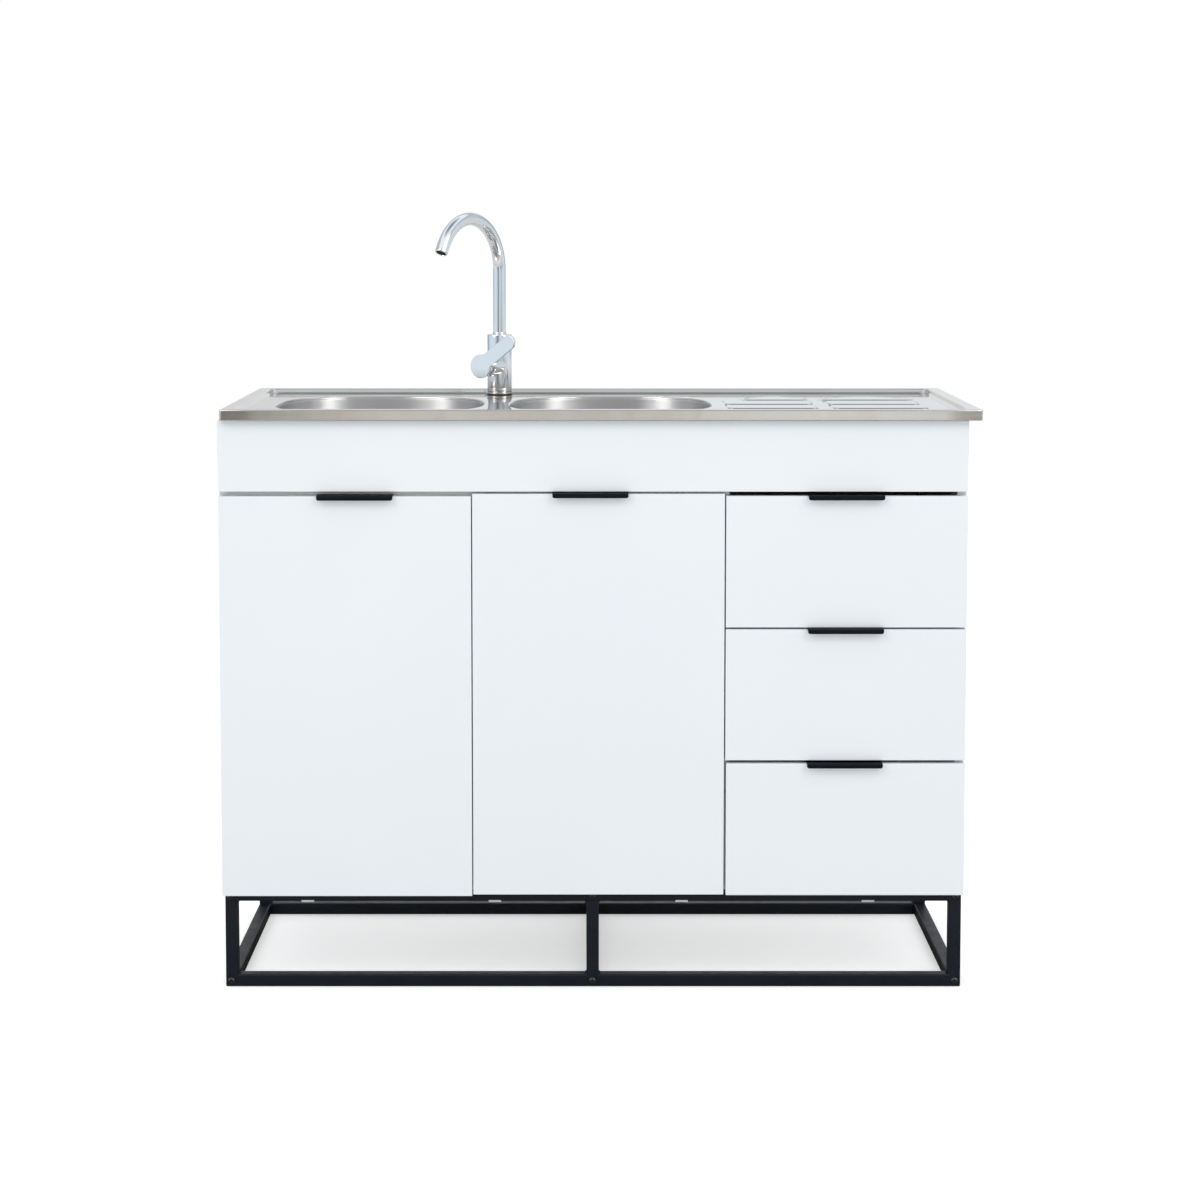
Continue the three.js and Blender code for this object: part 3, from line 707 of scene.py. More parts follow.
inner_x0, inner_x1 = CARC_X0 + BOARD, CARC_X1 - BOARD
board("left_side_board", (CARC_X0, CARC_Y0, CARC_Z0), (inner_x0, CARC_Y1, CARC_Z1), "left_side_panel",
      raw=lambda c, v: v.y > 0.9 or v.z > 0.9 or v.z < -0.9)
board("right_side_board", (inner_x1, CARC_Y0, CARC_Z0), (CARC_X1, CARC_Y1, CARC_Z1), "right_side_panel",
      raw=lambda c, v: v.y > 0.9 or v.z > 0.9 or v.z < -0.9)
board("floor_board", (inner_x0 + 0.3, CARC_Y0, CARC_Z0), (inner_x1 - 0.3, CARC_Y1, CARC_Z0 + BOARD), "bottom_panel",
      raw=lambda c, v: v.y > 0.9)
board("partition_board", (PART_X0, CARC_Y0, CARC_Z0 + BOARD + 0.3), (PART_X1, CARC_Y1 - 4, CARC_Z1), "partition_panel",
      raw=lambda c, v: v.y > 0.9 or v.z > 0.9)
board("front_rail_board", (inner_x0 + 0.3, CARC_Y0, 779), (PART_X0 - 0.3, CARC_Y0 + BOARD, 925.2), "front_rail",
      raw=lambda c, v: abs(v.z) > 0.9)

bm = bmesh.new()
add_box(bm, (inner_x0 + 0.3, 206, 809), (PART_X0 - 0.3, 221, 925.2), r=0.5, paint=lambda c, v, m: 1 if abs(v.z) > 0.9 else m)
rear_rail = piece("rear_rail_board", bm, ["carcass", "chip"], "cabinet", ["rear_rail"], weighted=True)
notch = bmesh.new()
add_box(notch, (TAP_X - 28, 200, 859), (TAP_X + 28, 230, 949), r=6.0, seg=4, along=1)
carve(rear_rail, [notch])

bm = bmesh.new()
add_box(bm, (inner_x0 + 0.3, CARC_Y1 - 3.7, CARC_Z0 + BOARD + 0.3), (inner_x1 - 0.3, CARC_Y1 - 0.7, CARC_Z1), r=0.3, seg=1)
back = piece("back_board", bm, ["back"], "cabinet", ["back_panel"], weighted=True)
carve(back, [bore_cutter(BOWLS["right"][0], CARC_Y1, OUTLET_Z, r=32.0, depth=12.0, seg=64)])

# staples that hold the back
bm = bmesh.new()
for x in (inner_x0 + 4.5, inner_x1 - 4.5):
    for k in range(8):
        z = CARC_Z0 + 45 + k * 95
        add_box(bm, (x - 0.6, CARC_Y1 - 0.9, z - 5), (x + 0.6, CARC_Y1 - 0.25, z + 5), r=0.2, seg=1)
piece("back_staples", bm, ["zinc"], "cabinet")


# ------------------------------------------------------------------ fronts
def front_board(name, x0, x1, z0, z1, node, body, cups=()):
    bm = bmesh.new()
    add_box(bm, (x0, FRONT_Y0, z0), (x1, FRONT_Y1, z1), r=0.9, seg=3)
    obj = piece(name, bm, ["white_front"], body, [node], weighted=True)
    if cups:
        carve(obj, [bore_cutter(cx, FRONT_Y1, cz, r=17.5, depth=12.0, seg=48) for cx, cz in cups])
    return obj


front_board("fascia_board", CARC_X0, CARC_X1, *FASCIA_Z, "fascia_panel", "cabinet")
for side, (x0, x1, z0, z1) in DOORS.items():
    cup_x = x0 + 22.5 if side == "left" else x1 - 22.5
    front_board(f"{side}_door_board", x0, x1, z0, z1, f"{side}_door", f"{side}_door", [(cup_x, z) for z in HINGE_Z])
for k, (x0, x1, z0, z1) in enumerate(DRAWERS):
    front_board(f"drawer_{k + 1}_board", x0, x1, z0, z1, f"drawer_{k + 1}_front", f"drawer_{k + 1}")


# ------------------------------------------------------------------ edge pulls
def add_countersunk(bm, at, r=3.4, mat=0):
    """The head of a small countersunk screw, with a cross recess as four short ribs of shade."""
    add_lathe(bm, [(0, -1.0), (r * 0.6, -1.0), (r, -0.1), (r - 0.15, 0.12), (1.5, 0.22), (1.1, -0.35), (0, -0.4)], seg=24, at=at,
              mat=mat, shape=lambda a, k: (0.62 + 0.38 * abs(math.cos(2 * a)) ** 0.5) if k in (4, 5) else 1.0)


def pull(name, x, top, body, node):
    bm = bmesh.new()
    z, t = top + 0.3, PULL_T
    h = t / 2
    y0 = FRONT_Y0 - PULL_OUT
    line = bend([(FRONT_Y1 - 1.0, z + h), (y0 + h, z + h), (y0 + h, z + t - PULL_LIP)], 2.2, 7)
    line = [(p[0], p[1]) for p in line]
    last = len(line) - 1
    half, r = PULL_LEN / 2, 3.2
    steps = [half - r * (1 - math.cos(math.radians(a))) for a in (0, 15, 30, 45, 60, 75, 90)]
    steps = sorted({-s for s in steps}) + [-30.0, 0.0, 30.0] + sorted(steps)

    def trim(i, s):
        # the lower corners of the lip are rounded
        d = half - abs(s)
        lift = r - math.sqrt(max(0.0, r * r - (r - min(d, r)) ** 2))
        if i == last:
            return (0.0, lift)
        return (0.0, 0.0)
    at = Matrix(((0, 0, 1, x), (1, 0, 0, 0), (0, 1, 0, 0), (0, 0, 0, 1)))
    add_strip(bm, line, steps, t, at, trim=trim)
    for dx in (-40.0, 40.0):
        add_countersunk(bm, Matrix.Translation((x + dx, FRONT_Y0 + 8.0, z + t)), mat=0)
    piece(name, bm, ["pull"], body, [node], angle=40)


pull("left_door_edge_pull", PULLS["left_door"], DOORS["left"][3], "left_door", "left_door_pull")
pull("right_door_edge_pull", PULLS["right_door"], DOORS["right"][3], "right_door", "right_door_pull")
for k, d in enumerate(DRAWERS):
    pull(f"drawer_{k + 1}_edge_pull", PULLS["drawer"], d[3], f"drawer_{k + 1}", f"drawer_{k + 1}_pull")


# ------------------------------------------------------------------ hinges
def hinge(side, level, z):
    door = DOORS[side]
    inward = 1.0 if side == "left" else -1.0
    wall = inner_x0 + 0.3 if side == "left" else PART_X0 - 0.3
    cup_x = door[0] + 22.5 if side == "left" else door[1] - 22.5
    # arm and plate, fixed to the panel: local X runs into the cabinet, local Y out of the panel
    bm = bmesh.new()
    plate = [(y, zz) for y, zz in rounded(-196.0, -160.0, -26.0, 26.0, 7.0)]
    at = Matrix(((0, 0, inward, wall), (1, 0, 0, 0), (0, 1, 0, z), (0, 0, 0, 1)))
    add_prism(bm, plate, 2.0, at, bevel=0.4)
    for zz in (-18.0, 18.0):
        add_countersunk(bm, Matrix(((0, 0, inward, wall + inward * 2.0), (1, 0, 0, -178.0), (0, 1, 0, z + zz), (0, 0, 0, 1))), r=4.2)
    # the base block that the arm is clipped on
    add_box(bm, tuple(map(min, (wall + inward * 1.5, -194.0, z - 5.5), (wall + inward * 9.0, -156.0, z + 5.5))),
            tuple(map(max, (wall + inward * 1.5, -194.0, z - 5.5), (wall + inward * 9.0, -156.0, z + 5.5))), r=0.8)
    # the arm: a channel that narrows and dips towards the cup
    rows = [(-152.5, 13.2, 6.6), (-156.0, 15.2, 7.4), (-170.0, 16.4, 7.8), (-190.0, 16.4, 7.8), (-203.0, 14.6, 7.4), (-212.0, 11.6, 6.6),
            (-219.0, 9.0, 5.6)]
    tmp = bmesh.new()
    rings = []
    for y, high, half in rows:
        base = 3.4
        sect = [(base, -half), (high - 2.2, -half), (high - 0.6, -half + 0.8), (high, -half + 2.4), (high, half - 2.4), (high - 0.6, half - 0.8),
                (high - 2.2, half), (base, half), (base, half - 1.2), (high - 2.6, half - 1.2), (high - 1.3, half - 2.6), (high - 1.3, -half + 2.6),
                (high - 2.6, -half + 1.2), (base, -half + 1.2)]
        rings.append([tmp.verts.new((wall + inward * a, y, z + b)) for a, b in sect])
    m = len(rings[0])
    for ra, rb in zip(rings, rings[1:]):
        for i in range(m):
            tmp.faces.new((ra[i], ra[(i + 1) % m], rb[(i + 1) % m], rb[i]))
    for ring, flip in ((rings[0], True), (rings[-1], False)):
        for i in range(m // 2 - 1):
            tmp.faces.new([ring[i], ring[i + 1], ring[m - 2 - i], ring[m - 1 - i]])
    bmesh.ops.recalc_face_normals(tmp, faces=tmp.faces)
    for f in tmp.faces:
        f.smooth = True
    absorb(bm, tmp)
    # adjusting screws on the arm
    for y in (-166.0, -186.0):
        add_lathe(bm, [(0, 14.0), (3.3, 14.0), (3.3, 17.0), (2.9, 17.3), (1.0, 17.3), (0.9, 16.4), (0, 16.4)], seg=24,
                  at=Matrix(((0, 0, inward, wall), (1, 0, 0, y), (0, 1, 0, z), (0, 0, 0, 1))),
                  shape=lambda a, k: (0.45 + 0.55 * abs(math.cos(2 * a)) ** 0.5) if k in (4, 5) else 1.0)
    piece(f"{side}_{level}_hinge_arm", bm, ["zinc"], "cabinet", [f"{side}_door_{level}_hinge"], angle=32)
    # the cup, pressed into the door, with its flange and two screws
    bm = bmesh.new()
    inner_y = FRONT_Y1
    at = basis((cup_x, inner_y, z), (0, 1, 0))
    add_lathe(bm, [(0, -11.3), (16.2, -11.3), (17.1, -10.4), (17.3, 0.1), (17.3, 0.9), (16.6, 1.1), (15.9, 0.6), (15.6, -9.3), (14.6, -10.1), (0, -10.1)],
              seg=48, at=at)
    ears = []
    for i in range(40):
        a = 2 * math.pi * i / 40
        zz = 27.5 * math.sin(a)
        xx = 8.5 * math.cos(a) if abs(math.sin(a)) > 0.45 else 8.5 * math.cos(a)
        ears.append((xx, zz))
    for s in (-1, 1):
        outline = [(x, y) for x, y in rounded(-8.0, 8.0, 15.0, 28.0, 6.5)]
        add_prism(bm, [(x, s * y) for x, y in (outline if s > 0 else list(reversed(outline)))], 1.0,
                  Matrix(((1, 0, 0, cup_x + inward * 4.0), (0, 0, 1, inner_y + 0.05), (0, 1, 0, z), (0, 0, 0, 1))), bevel=0.3)
        add_countersunk(bm, basis((cup_x + inward * 4.0, inner_y + 1.0, z + s * 22.5), (0, 1, 0)), r=3.6)
    # the two link pins across the cup
    for dx, dy in ((inward * 6.0, -3.2), (inward * 11.0, -6.8)):
        add_sweep(bm, [(cup_x + dx, inner_y + dy, z - 10.5), (cup_x + dx, inner_y + dy, z + 10.5)], 1.5, seg=12)
    piece(f"{side}_{level}_hinge_cup", bm, ["zinc"], f"{side}_door", angle=32)


for side in ("left", "right"):
    for level, z in zip(("bottom", "top"), HINGE_Z):
        hinge(side, level, z)


# ------------------------------------------------------------------ drawers
def drawer(k):
    bz, body = BOX_Z[k], f"drawer_{k + 1}"
    y0, y1, w = FRONT_Y1 + 0.3, BOX_Y1, 12.0
    bm = bmesh.new()
    e = 0.6
    add_box(bm, (BOX_X0, y0, bz), (BOX_X0 + w, y1, bz + BOX_H), r=e)
    add_box(bm, (BOX_X1 - w, y0, bz), (BOX_X1, y1, bz + BOX_H), r=e)
    add_box(bm, (BOX_X0 + w + 0.05, y0, bz), (BOX_X1 - w - 0.05, y0 + w, bz + BOX_H), r=e)
    add_box(bm, (BOX_X0 + w + 0.05, y1 - w, bz), (BOX_X1 - w - 0.05, y1, bz + BOX_H), r=e)
    add_box(bm, (BOX_X0 + w - 4, y0 + w - 4, bz + 1.5), (BOX_X1 - w + 4, y1 - w + 4, bz + 4.9), r=0.2, seg=1, mat=1)
    piece(f"{body}_box_boards", bm, ["drawer", "back"], body, [f"{body}_box"], weighted=True)
    # screws that hold the front to the box, seen inside
    bm = bmesh.new()
    for x in (BOX_X0 + 70, BOX_X1 - 70):
        for z in (bz + 45, bz + 110):
            add_lathe(bm, [(0, 0.0), (4.2, 0.0), (4.2, 0.5), (3.2, 1.7), (1.6, 2.1), (1.2, 1.2), (0, 1.1)], seg=24,
                      at=basis((x, y0 + w, z), (0, 1, 0)), shape=lambda a, i: (0.6 + 0.4 * abs(math.cos(2 * a)) ** 0.5) if i in (4, 5) else 1.0)
    for x, s in ((BOX_X0, -1), (BOX_X1, 1)):
        for y in (y0 + 6, y1 - 6):
            for z in (bz + 30, bz + 120):
                add_countersunk(bm, basis((x - s * 0.05, y, z), (s, 0, 0)), r=3.2)
    piece(f"{body}_screws", bm, ["zinc"], body, angle=32)
    # members that ride on the drawer: an angle under each side and a roller at its back end
    for side, x, s in (("left", BOX_X0, -1.0), ("right", BOX_X1, 1.0)):
        bm = bmesh.new()
        line = bend([(10.0, -0.75), (-0.75, -0.75), (-0.75, 15.0)], 1.2, 4)
        line = [(x - s * a, bz + b) for a, b in line]
        at = Matrix(((1, 0, 0, 0), (0, 0, 1, 0), (0, 1, 0, 0), (0, 0, 0, 1)))
        add_strip(bm, line, [y0 + 3, y0 + 4, y1 - 4, y1 - 3], 1.1, at)
        cx, cy, cz = x + s * 7.2, y1 - 14.0, bz + 15.0
        add_lathe(bm, [(0, -3.0), (5.4, -3.0), (6.3, -2.6), (6.6, -2.0), (6.6, 2.0), (6.3, 2.6), (5.4, 3.0), (2.6, 3.0), (2.4, 2.4), (0, 2.4)], seg=36,
                  at=basis((cx, cy, cz), (s, 0, 0)), mat=1)
        add_sweep(bm, [(x + s * 0.6, cy, cz), (x + s * 6.5, cy, cz)], 1.9, seg=14, mat=2)
        piece(f"{body}_{side}_slide_member", bm, ["runner", "nylon", "zinc"], body, angle=36)


def runner(k, side):
    bz = BOX_Z[k] + 6
    x, s = (PART_X1 + 0.3, 1.0) if side == "left" else (inner_x1 - 0.3, -1.0)
    bm = bmesh.new()
    # a channel rolled from 1.2 mm strip
    line = bend([(6.6, 3.4), (7.9, 3.4), (7.9, 0.7), (0.7, 0.7), (0.7, 29.3), (4.7, 29.3)], 0.6, 3)
    line = [(x + s * a, bz + b) for a, b in line]
    at = Matrix(((1, 0, 0, 0), (0, 0, 1, 0), (0, 1, 0, 0), (0, 0, 0, 1)))
    y0, y1 = CARC_Y0 + 2, CARC_Y0 + 402
    add_strip(bm, line, [y0, y0 + 1, y1 - 1, y1], 1.2, at)
    # the roller at the front end, and the screws into the panel
    cy, cz = y0 + 9.0, bz + 8.4
    add_lathe(bm, [(0, -2.6), (5.4, -2.6), (6.3, -2.2), (6.6, -1.7), (6.6, 1.7), (6.3, 2.2), (5.4, 2.6), (0, 2.6)], seg=36,
              at=basis((x + s * 4.6, cy, cz), (s, 0, 0)), mat=1)
    for y in (y0 + 37, y0 + 165, y0 + 325):
        add_countersunk(bm, basis((x + s * 1.3, y, bz + 17.0), (s, 0, 0)), r=3.4, mat=2)
    piece(f"drawer_{k + 1}_{side}_runner_channel", bm, ["runner", "nylon", "zinc"], "cabinet", [f"drawer_{k + 1}_{side}_runner"],
          angle=36)


for k in range(3):
    drawer(k)
    for side in ("left", "right"):
        runner(k, side)


# ------------------------------------------------------------------ sink top
def outline(cx, half_x, half_y, power=2.6, count=112):
    """A bowl's outline: a square with strongly rounded corners and gently bowed sides."""
    pts = []
    for i in range(count):
        a = 2 * math.pi * i / count
        c, s = math.cos(a), math.sin(a)
        f = (abs(c) ** power + abs(s) ** power) ** (-1 / power)
        pts.append((cx + half_x * c * f, BOWL_Y + half_y * s * f))
    return pts


def inside(x, y, loop):
    hit, j = False, len(loop) - 1
    for i in range(len(loop)):
        xi, yi = loop[i]
        xj, yj = loop[j]
        if (yi > y) != (yj > y) and x < (xj - xi) * (y - yi) / (yj - yi) + xi:
            hit = not hit
        j = i
    return hit


def frame_loop(inset, r, per=8, long=24, short=10):
    """The sink's plan outline moved inwards by inset, with corner radius r, always with the same number of points."""
    x0, x1, y0, y1 = SINK_X0 + inset, SINK_X1 - inset, SINK_Y0 + inset, SINK_Y1 - inset
    pts = []
    corners = ((x1, y0, -90, 1, -1), (x1, y1, 0, 1, 1), (x0, y1, 90, -1, 1), (x0, y0, 180, -1, -1))
    for k, (cx, cy, start, sx, sy) in enumerate(corners):
        ox, oy = cx - sx * r, cy - sy * r
        for i in range(per + 1):
            a = math.radians(start + 90 * i / per)
            pts.append((ox + r * math.cos(a), oy + r * math.sin(a)))
        nx, ny = corners[(k + 1) % 4][:2]
        n = short if k % 2 == 0 else long
        ex, ey = pts[-1]
        a = math.radians(corners[(k + 1) % 4][2])
        fx = nx - corners[(k + 1) % 4][3] * r + r * math.cos(a)
        fy = ny - corners[(k + 1) % 4][4] * r + r * math.sin(a)
        for i in range(1, n):
            w = i / n
            pts.append((ex + (fx - ex) * w, ey + (fy - ey) * w))
    return pts


def pad_outline(x0, x1, y0, y1, grow, arched):
    """A drainer pad in plan, moved outwards by grow. The rearmost pads have a bowed back edge."""
    if not arched:
        return rounded(x0 - grow, x1 + grow, y0 - grow, y1 + grow, min(12.0 + grow, (y1 - y0) / 2 + grow - 0.01), 7)
    pts = []
    n = 30
    a0, a1 = x0 - grow, x1 + grow
    rise = (y1 - y0) + 2 * grow
    r = 7.0 + grow
    # front edge with small rounded corners, then the bow
    pts += [(a0 + r + (a1 - a0 - 2 * r) * i / 8, y0 - grow) for i in range(9)]
    for i in range(1, 6):
        a = math.radians(-90 + 110 * i / 5)
        pts.append((a1 - r + r * math.cos(a), y0 - grow + r + r * math.sin(a)))
    sx, sy = pts[-1]
    mid = (a0 + a1) / 2
    top = y0 - grow + rise
    for i in range(1, n):
        w = i / n
        x = sx + (2 * mid - sx - sx) * w
        u = 1 - abs(2 * w - 1)
        u = 1 - (1 - u) ** 2.1
        pts.append((x, sy + (top - sy) * u))
    for i in range(5, 0, -1):
        a = math.radians(-90 + 110 * i / 5)
        pts.append((a0 + r - r * math.cos(a), y0 - grow + r + r * math.sin(a)))
    return pts


def ring_of(bm, pts, z):
    return [bm.verts.new((x, y, z)) for x, y in pts]


def loft(bm, ra, rb, mat=0):
    n = len(ra)
    for i in range(n):
        j = (i + 1) % n
        f = bm.faces.new((ra[i], ra[j], rb[j], rb[i]))
        f.smooth = True
        f.material_index = mat


def sink_top():
    bm = bmesh.new()
    bottom = RIM_TOP - LIP
    # from the hem under the lip, up the lip, over the rim, down the pressed wall to the working surface
    steps = [(3.6, bottom + 0.15, 3.0), (1.0, bottom, 3.8), (0.3, bottom + 0.25, 3.95), (0.0, bottom + 0.8, 4.0), (0.0, bottom + 1.2, 4.0),
             (0.0, bottom + 2.0, 4.0), (0.0, RIM_TOP - 3.4, 4.0), (0.0, RIM_TOP - 2.2, 4.0), (0.0, RIM_TOP - 1.8, 4.0), (0.25, RIM_TOP - 0.9, 4.0),
             (0.8, RIM_TOP - 0.3, 4.0), (1.7, RIM_TOP, 4.3), (2.2, RIM_TOP, 4.4), (6.0, RIM_TOP, 6.0), (13.0, RIM_TOP - 0.15, 10.0), (RIM_WIDTH - 3.2, RIM_TOP, 15.0), (RIM_WIDTH - 1.6, RIM_TOP - 0.3, 16.0),
             (RIM_WIDTH - 0.5, RIM_TOP - 1.3, 16.5), (RIM_WIDTH + 0.2, RIM_TOP - 3.2, 17.0), (RIM_WIDTH + 1.0, DECK_Z + 2.4, 17.0),
             (RIM_WIDTH + 2.4, DECK_Z + 1.15, 16.5), (RIM_WIDTH + 4.4, DECK_Z + 0.45, 16.0), (RIM_WIDTH + 7.5, DECK_Z + 0.1, 15.0), (RIM_WIDTH + 11.0, DECK_Z, 13.0)]
    rings = [ring_of(bm, frame_loop(inset, r), z) for inset, z, r in steps]
    for a, b in zip(rings, rings[1:]):
        loft(bm, a, b)
    loops = [frame_loop(steps[-1][0], steps[-1][2])]
    loop_verts = [rings[-1]]
    # the rolled shoulders of the two bowls
    arc = [(SHOULDER * (1 - math.sin(math.radians(a))), SHOULDER * (1 - math.cos(math.radians(a)))) for a in range(0, 91, 15)]
    for side, (cx, half) in BOWLS.items():
        first = None
        previous = None
        for out, drop in arc:
            pts = outline(cx, half + out, BOWL_HALF_Y + out)
            ring = ring_of(bm, pts, DECK_Z - drop)
            if first is None:
                first = ring
                loops.append(pts)
                loop_verts.append(ring)
            else:
                loft(bm, previous, ring)
            previous = ring
    # tap hole with a small turned-down edge
    pts = [(TAP_X + 17.5 * math.cos(2 * math.pi * i / 40), TAP_Y + 17.5 * math.sin(2 * math.pi * i / 40)) for i in range(40)]
    ring = ring_of(bm, pts, DECK_Z)
    loops.append(pts)
    loop_verts.append(ring)
    lower = ring_of(bm, [(TAP_X + 16.8 * math.cos(2 * math.pi * i / 40), TAP_Y + 16.8 * math.sin(2 * math.pi * i / 40)) for i in range(40)],
                    DECK_Z - 0.9)
    loft(bm, ring, lower)
    # drainer pads
    rise = [(2.4, 0.0), (1.4, 0.12), (0.7, 0.5), (0.1, 1.2), (-0.6, 1.85), (-1.6, 2.12), (-3.0, PAD_RISE), (-3.8, PAD_RISE), (-4.4, PAD_RISE)]
    for x0, x1, y0, y1, arched in PADS:
        previous = None
        for grow, up in rise:
            pts = pad_outline(x0, x1, y0, y1, grow, arched)
            ring = ring_of(bm, pts, DECK_Z + up)
            if previous is None:
                loops.append(pts)
                loop_verts.append(ring)
            else:
                loft(bm, previous, ring)
            previous = ring
        f = bm.faces.new(previous)
        f.smooth = True
    # the working surface between all these outlines
    points, edges, known = [], [], []
    for pts, verts in zip(loops, loop_verts):
        start = len(points)
        m = len(pts)
        points += [Vector(p) for p in pts]
        known += verts
        edges += [(start + i, start + (i + 1) % m) for i in range(m)]
    holes = loops[1:]
    boxes = [(min(p[0] for p in h) - 4, max(p[0] for p in h) + 4, min(p[1] for p in h) - 4, max(p[1] for p in h) + 4) for h in holes]
    step = 22.0
    inset = steps[-1][0] + 8
    nx, ny = int((SINK_X1 - SINK_X0 - 2 * inset) / step), int((SINK_Y1 - SINK_Y0 - 2 * inset) / step)
    for i in range(nx + 1):
        for j in range(ny + 1):
            x = SINK_X0 + inset + (SINK_X1 - SINK_X0 - 2 * inset) * i / nx
            y = SINK_Y0 + inset + (SINK_Y1 - SINK_Y0 - 2 * inset) * j / ny
            if any(b[0] < x < b[1] and b[2] < y < b[3] and inside(x, y, [(cx + (px - cx) * 1.03, cy + (py - cy) * 1.03) for px, py in h])
                   for h, b, cx, cy in ((h, b, (b[0] + b[1]) / 2, (b[2] + b[3]) / 2) for h, b in zip(holes, boxes))):
                continue
            points.append(Vector((x, y)))
    verts2, _, faces2, origin, _, _ = delaunay_2d_cdt(points, edges, [], 0, 1e-5)
    made = []
    for i, v in enumerate(verts2):
        source = [o for o in origin[i] if o < len(known)]
        made.append(known[source[0]] if source else bm.verts.new((v.x, v.y, DECK_Z)))
    outer = loops[0]
    for tri in faces2:
        x = sum(verts2[i].x for i in tri) / len(tri)
        y = sum(verts2[i].y for i in tri) / len(tri)
        if not inside(x, y, outer):
            continue
        if any(b[0] < x < b[1] and b[2] < y < b[3] and inside(x, y, h) for h, b in zip(holes, boxes)):
            continue
        try:
            f = bm.faces.new([made[i] for i in tri])
        except ValueError:
            continue
        f.smooth = True
        if f.calc_area() > 0 and f.normal.z < 0:
            f.normal_flip()
    bm.normal_update()
    up = [f for f in bm.faces if f.normal.z < -0.5 and f.calc_center_median().z > RIM_TOP - 10]
    bmesh.ops.reverse_faces(bm, faces=up)
    loose = [v for v in bm.verts if not v.link_faces]
    bmesh.ops.delete(bm, geom=loose, context="VERTS")
    bmesh.ops.recalc_face_normals(bm, faces=bm.faces)
    # the sheet's visible side looks up and out
    bm.faces.ensure_lookup_table()
    top = max(bm.faces, key=lambda f: f.calc_center_median().z + (f.calc_area() if abs(f.normal.z) > 0.99 else 0) * 1e-6)
    if top.normal.z < 0:
        bmesh.ops.reverse_faces(bm, faces=bm.faces)
    for f in bm.faces:
        c = f.calc_center_median()
        if abs(f.normal.z) < 0.3 and c.z < RIM_TOP and max(abs(c.x - 2.5) - 599.0, abs(c.y) - 249.0) > 0:
            f.material_index = 1
    obj = piece("sink_top_sheet", bm, ["steel", "lip"], "cabinet", ["sink_deck"], angle=60)
    thick = obj.modifiers.new("sheet", "SOLIDIFY")
    thick.thickness, thick.offset = 0.0010, -1.0
    return obj


sink_top()


def smooth_profile(points, steps=4):
    """A Catmull-Rom curve through (radius, height) points."""
    out = []
    p = [points[0]] + list(points) + [points[-1]]
    for i in range(1, len(p) - 2):
        a, b, c, d = (Vector(q) for q in p[i - 1:i + 3])
        for k in range(steps):
            t = k / steps
            out.append(tuple(0.5 * ((2 * b) + (c - a) * t + (2 * a - 5 * b + 4 * c - d) * t * t + (3 * b - a - 3 * c + d) * t ** 3)))
    out.append(points[-1])
    return out


def bowl(side):
    cx, half = BOWLS[side]
    low = DECK_Z - BOWL_DEPTH
    wall = [(0.0, DECK_Z - SHOULDER), (-0.4, DECK_Z - 22), (-1.5, DECK_Z - 51), (-4.0, DECK_Z - 109), (-6.5, low + 24), (-10.5, low + 14),
            (-17.0, low + 6.4), (-27.0, low + 1.8), (-42.0, low)]
    wall = smooth_profile(wall, 4)
    bm = bmesh.new()
    rings = []
    count = 112

    def at(out, z, blend):
        """A ring on the bowl's outline, grown outwards by out. blend is not used."""
        pts = outline(cx, half + out, BOWL_HALF_Y + out, count=count)
        return [bm.verts.new((x, y, z)) for x, y in pts]
    for out, z in wall:
        rings.append(at(out, z, 0))
    # the floor falls gently to the waste, whose seat is pressed into it
    flat = outline(cx, half - 42, BOWL_HALF_Y - 42, count=count)
    for w, z in ((0.25, low - 0.6), (0.5, low - 1.3), (0.75, low - 2.1), (1.0, low - 2.8)):
        ring = []
        for i, (x, y) in enumerate(flat):
            a = 2 * math.pi * i / count
            rx, ry = cx + 61.0 * math.cos(a), BOWL_Y + 61.0 * math.sin(a)
            ring.append(bm.verts.new((x + (rx - x) * w, y + (ry - y) * w, z)))
        rings.append(ring)
    for r, z in ((59.0, low - 3.1), (57.8, low - 3.7), (57.0, low - 5.0), (56.4, low - 6.8), (55.2, low - 7.7), (53.5, low - 8.0),
                 (WASTE_R + 2.5, low - 8.0), (WASTE_R + 0.8, low - 8.3), (WASTE_R, low - 9.2)):
        rings.append([bm.verts.new((cx + r * math.cos(2 * math.pi * i / count), BOWL_Y + r * math.sin(2 * math.pi * i / count), z))
                      for i in range(count)])
    for a, b in zip(rings, rings[1:]):
        loft(bm, b, a)
    bmesh.ops.recalc_face_normals(bm, faces=bm.faces)
    bm.faces.ensure_lookup_table()
    floor = min(bm.faces, key=lambda f: abs(f.calc_center_median().z - (low - 1.0)))
    if floor.normal.z < 0:
        bmesh.ops.reverse_faces(bm, faces=bm.faces)
    obj = piece(f"{side}_bowl_sheet", bm, ["bowl"], "cabinet", [f"{side}_bowl"], angle=60)
    thick = obj.modifiers.new("sheet", "SOLIDIFY")
    thick.thickness, thick.offset = 0.0010, -1.0


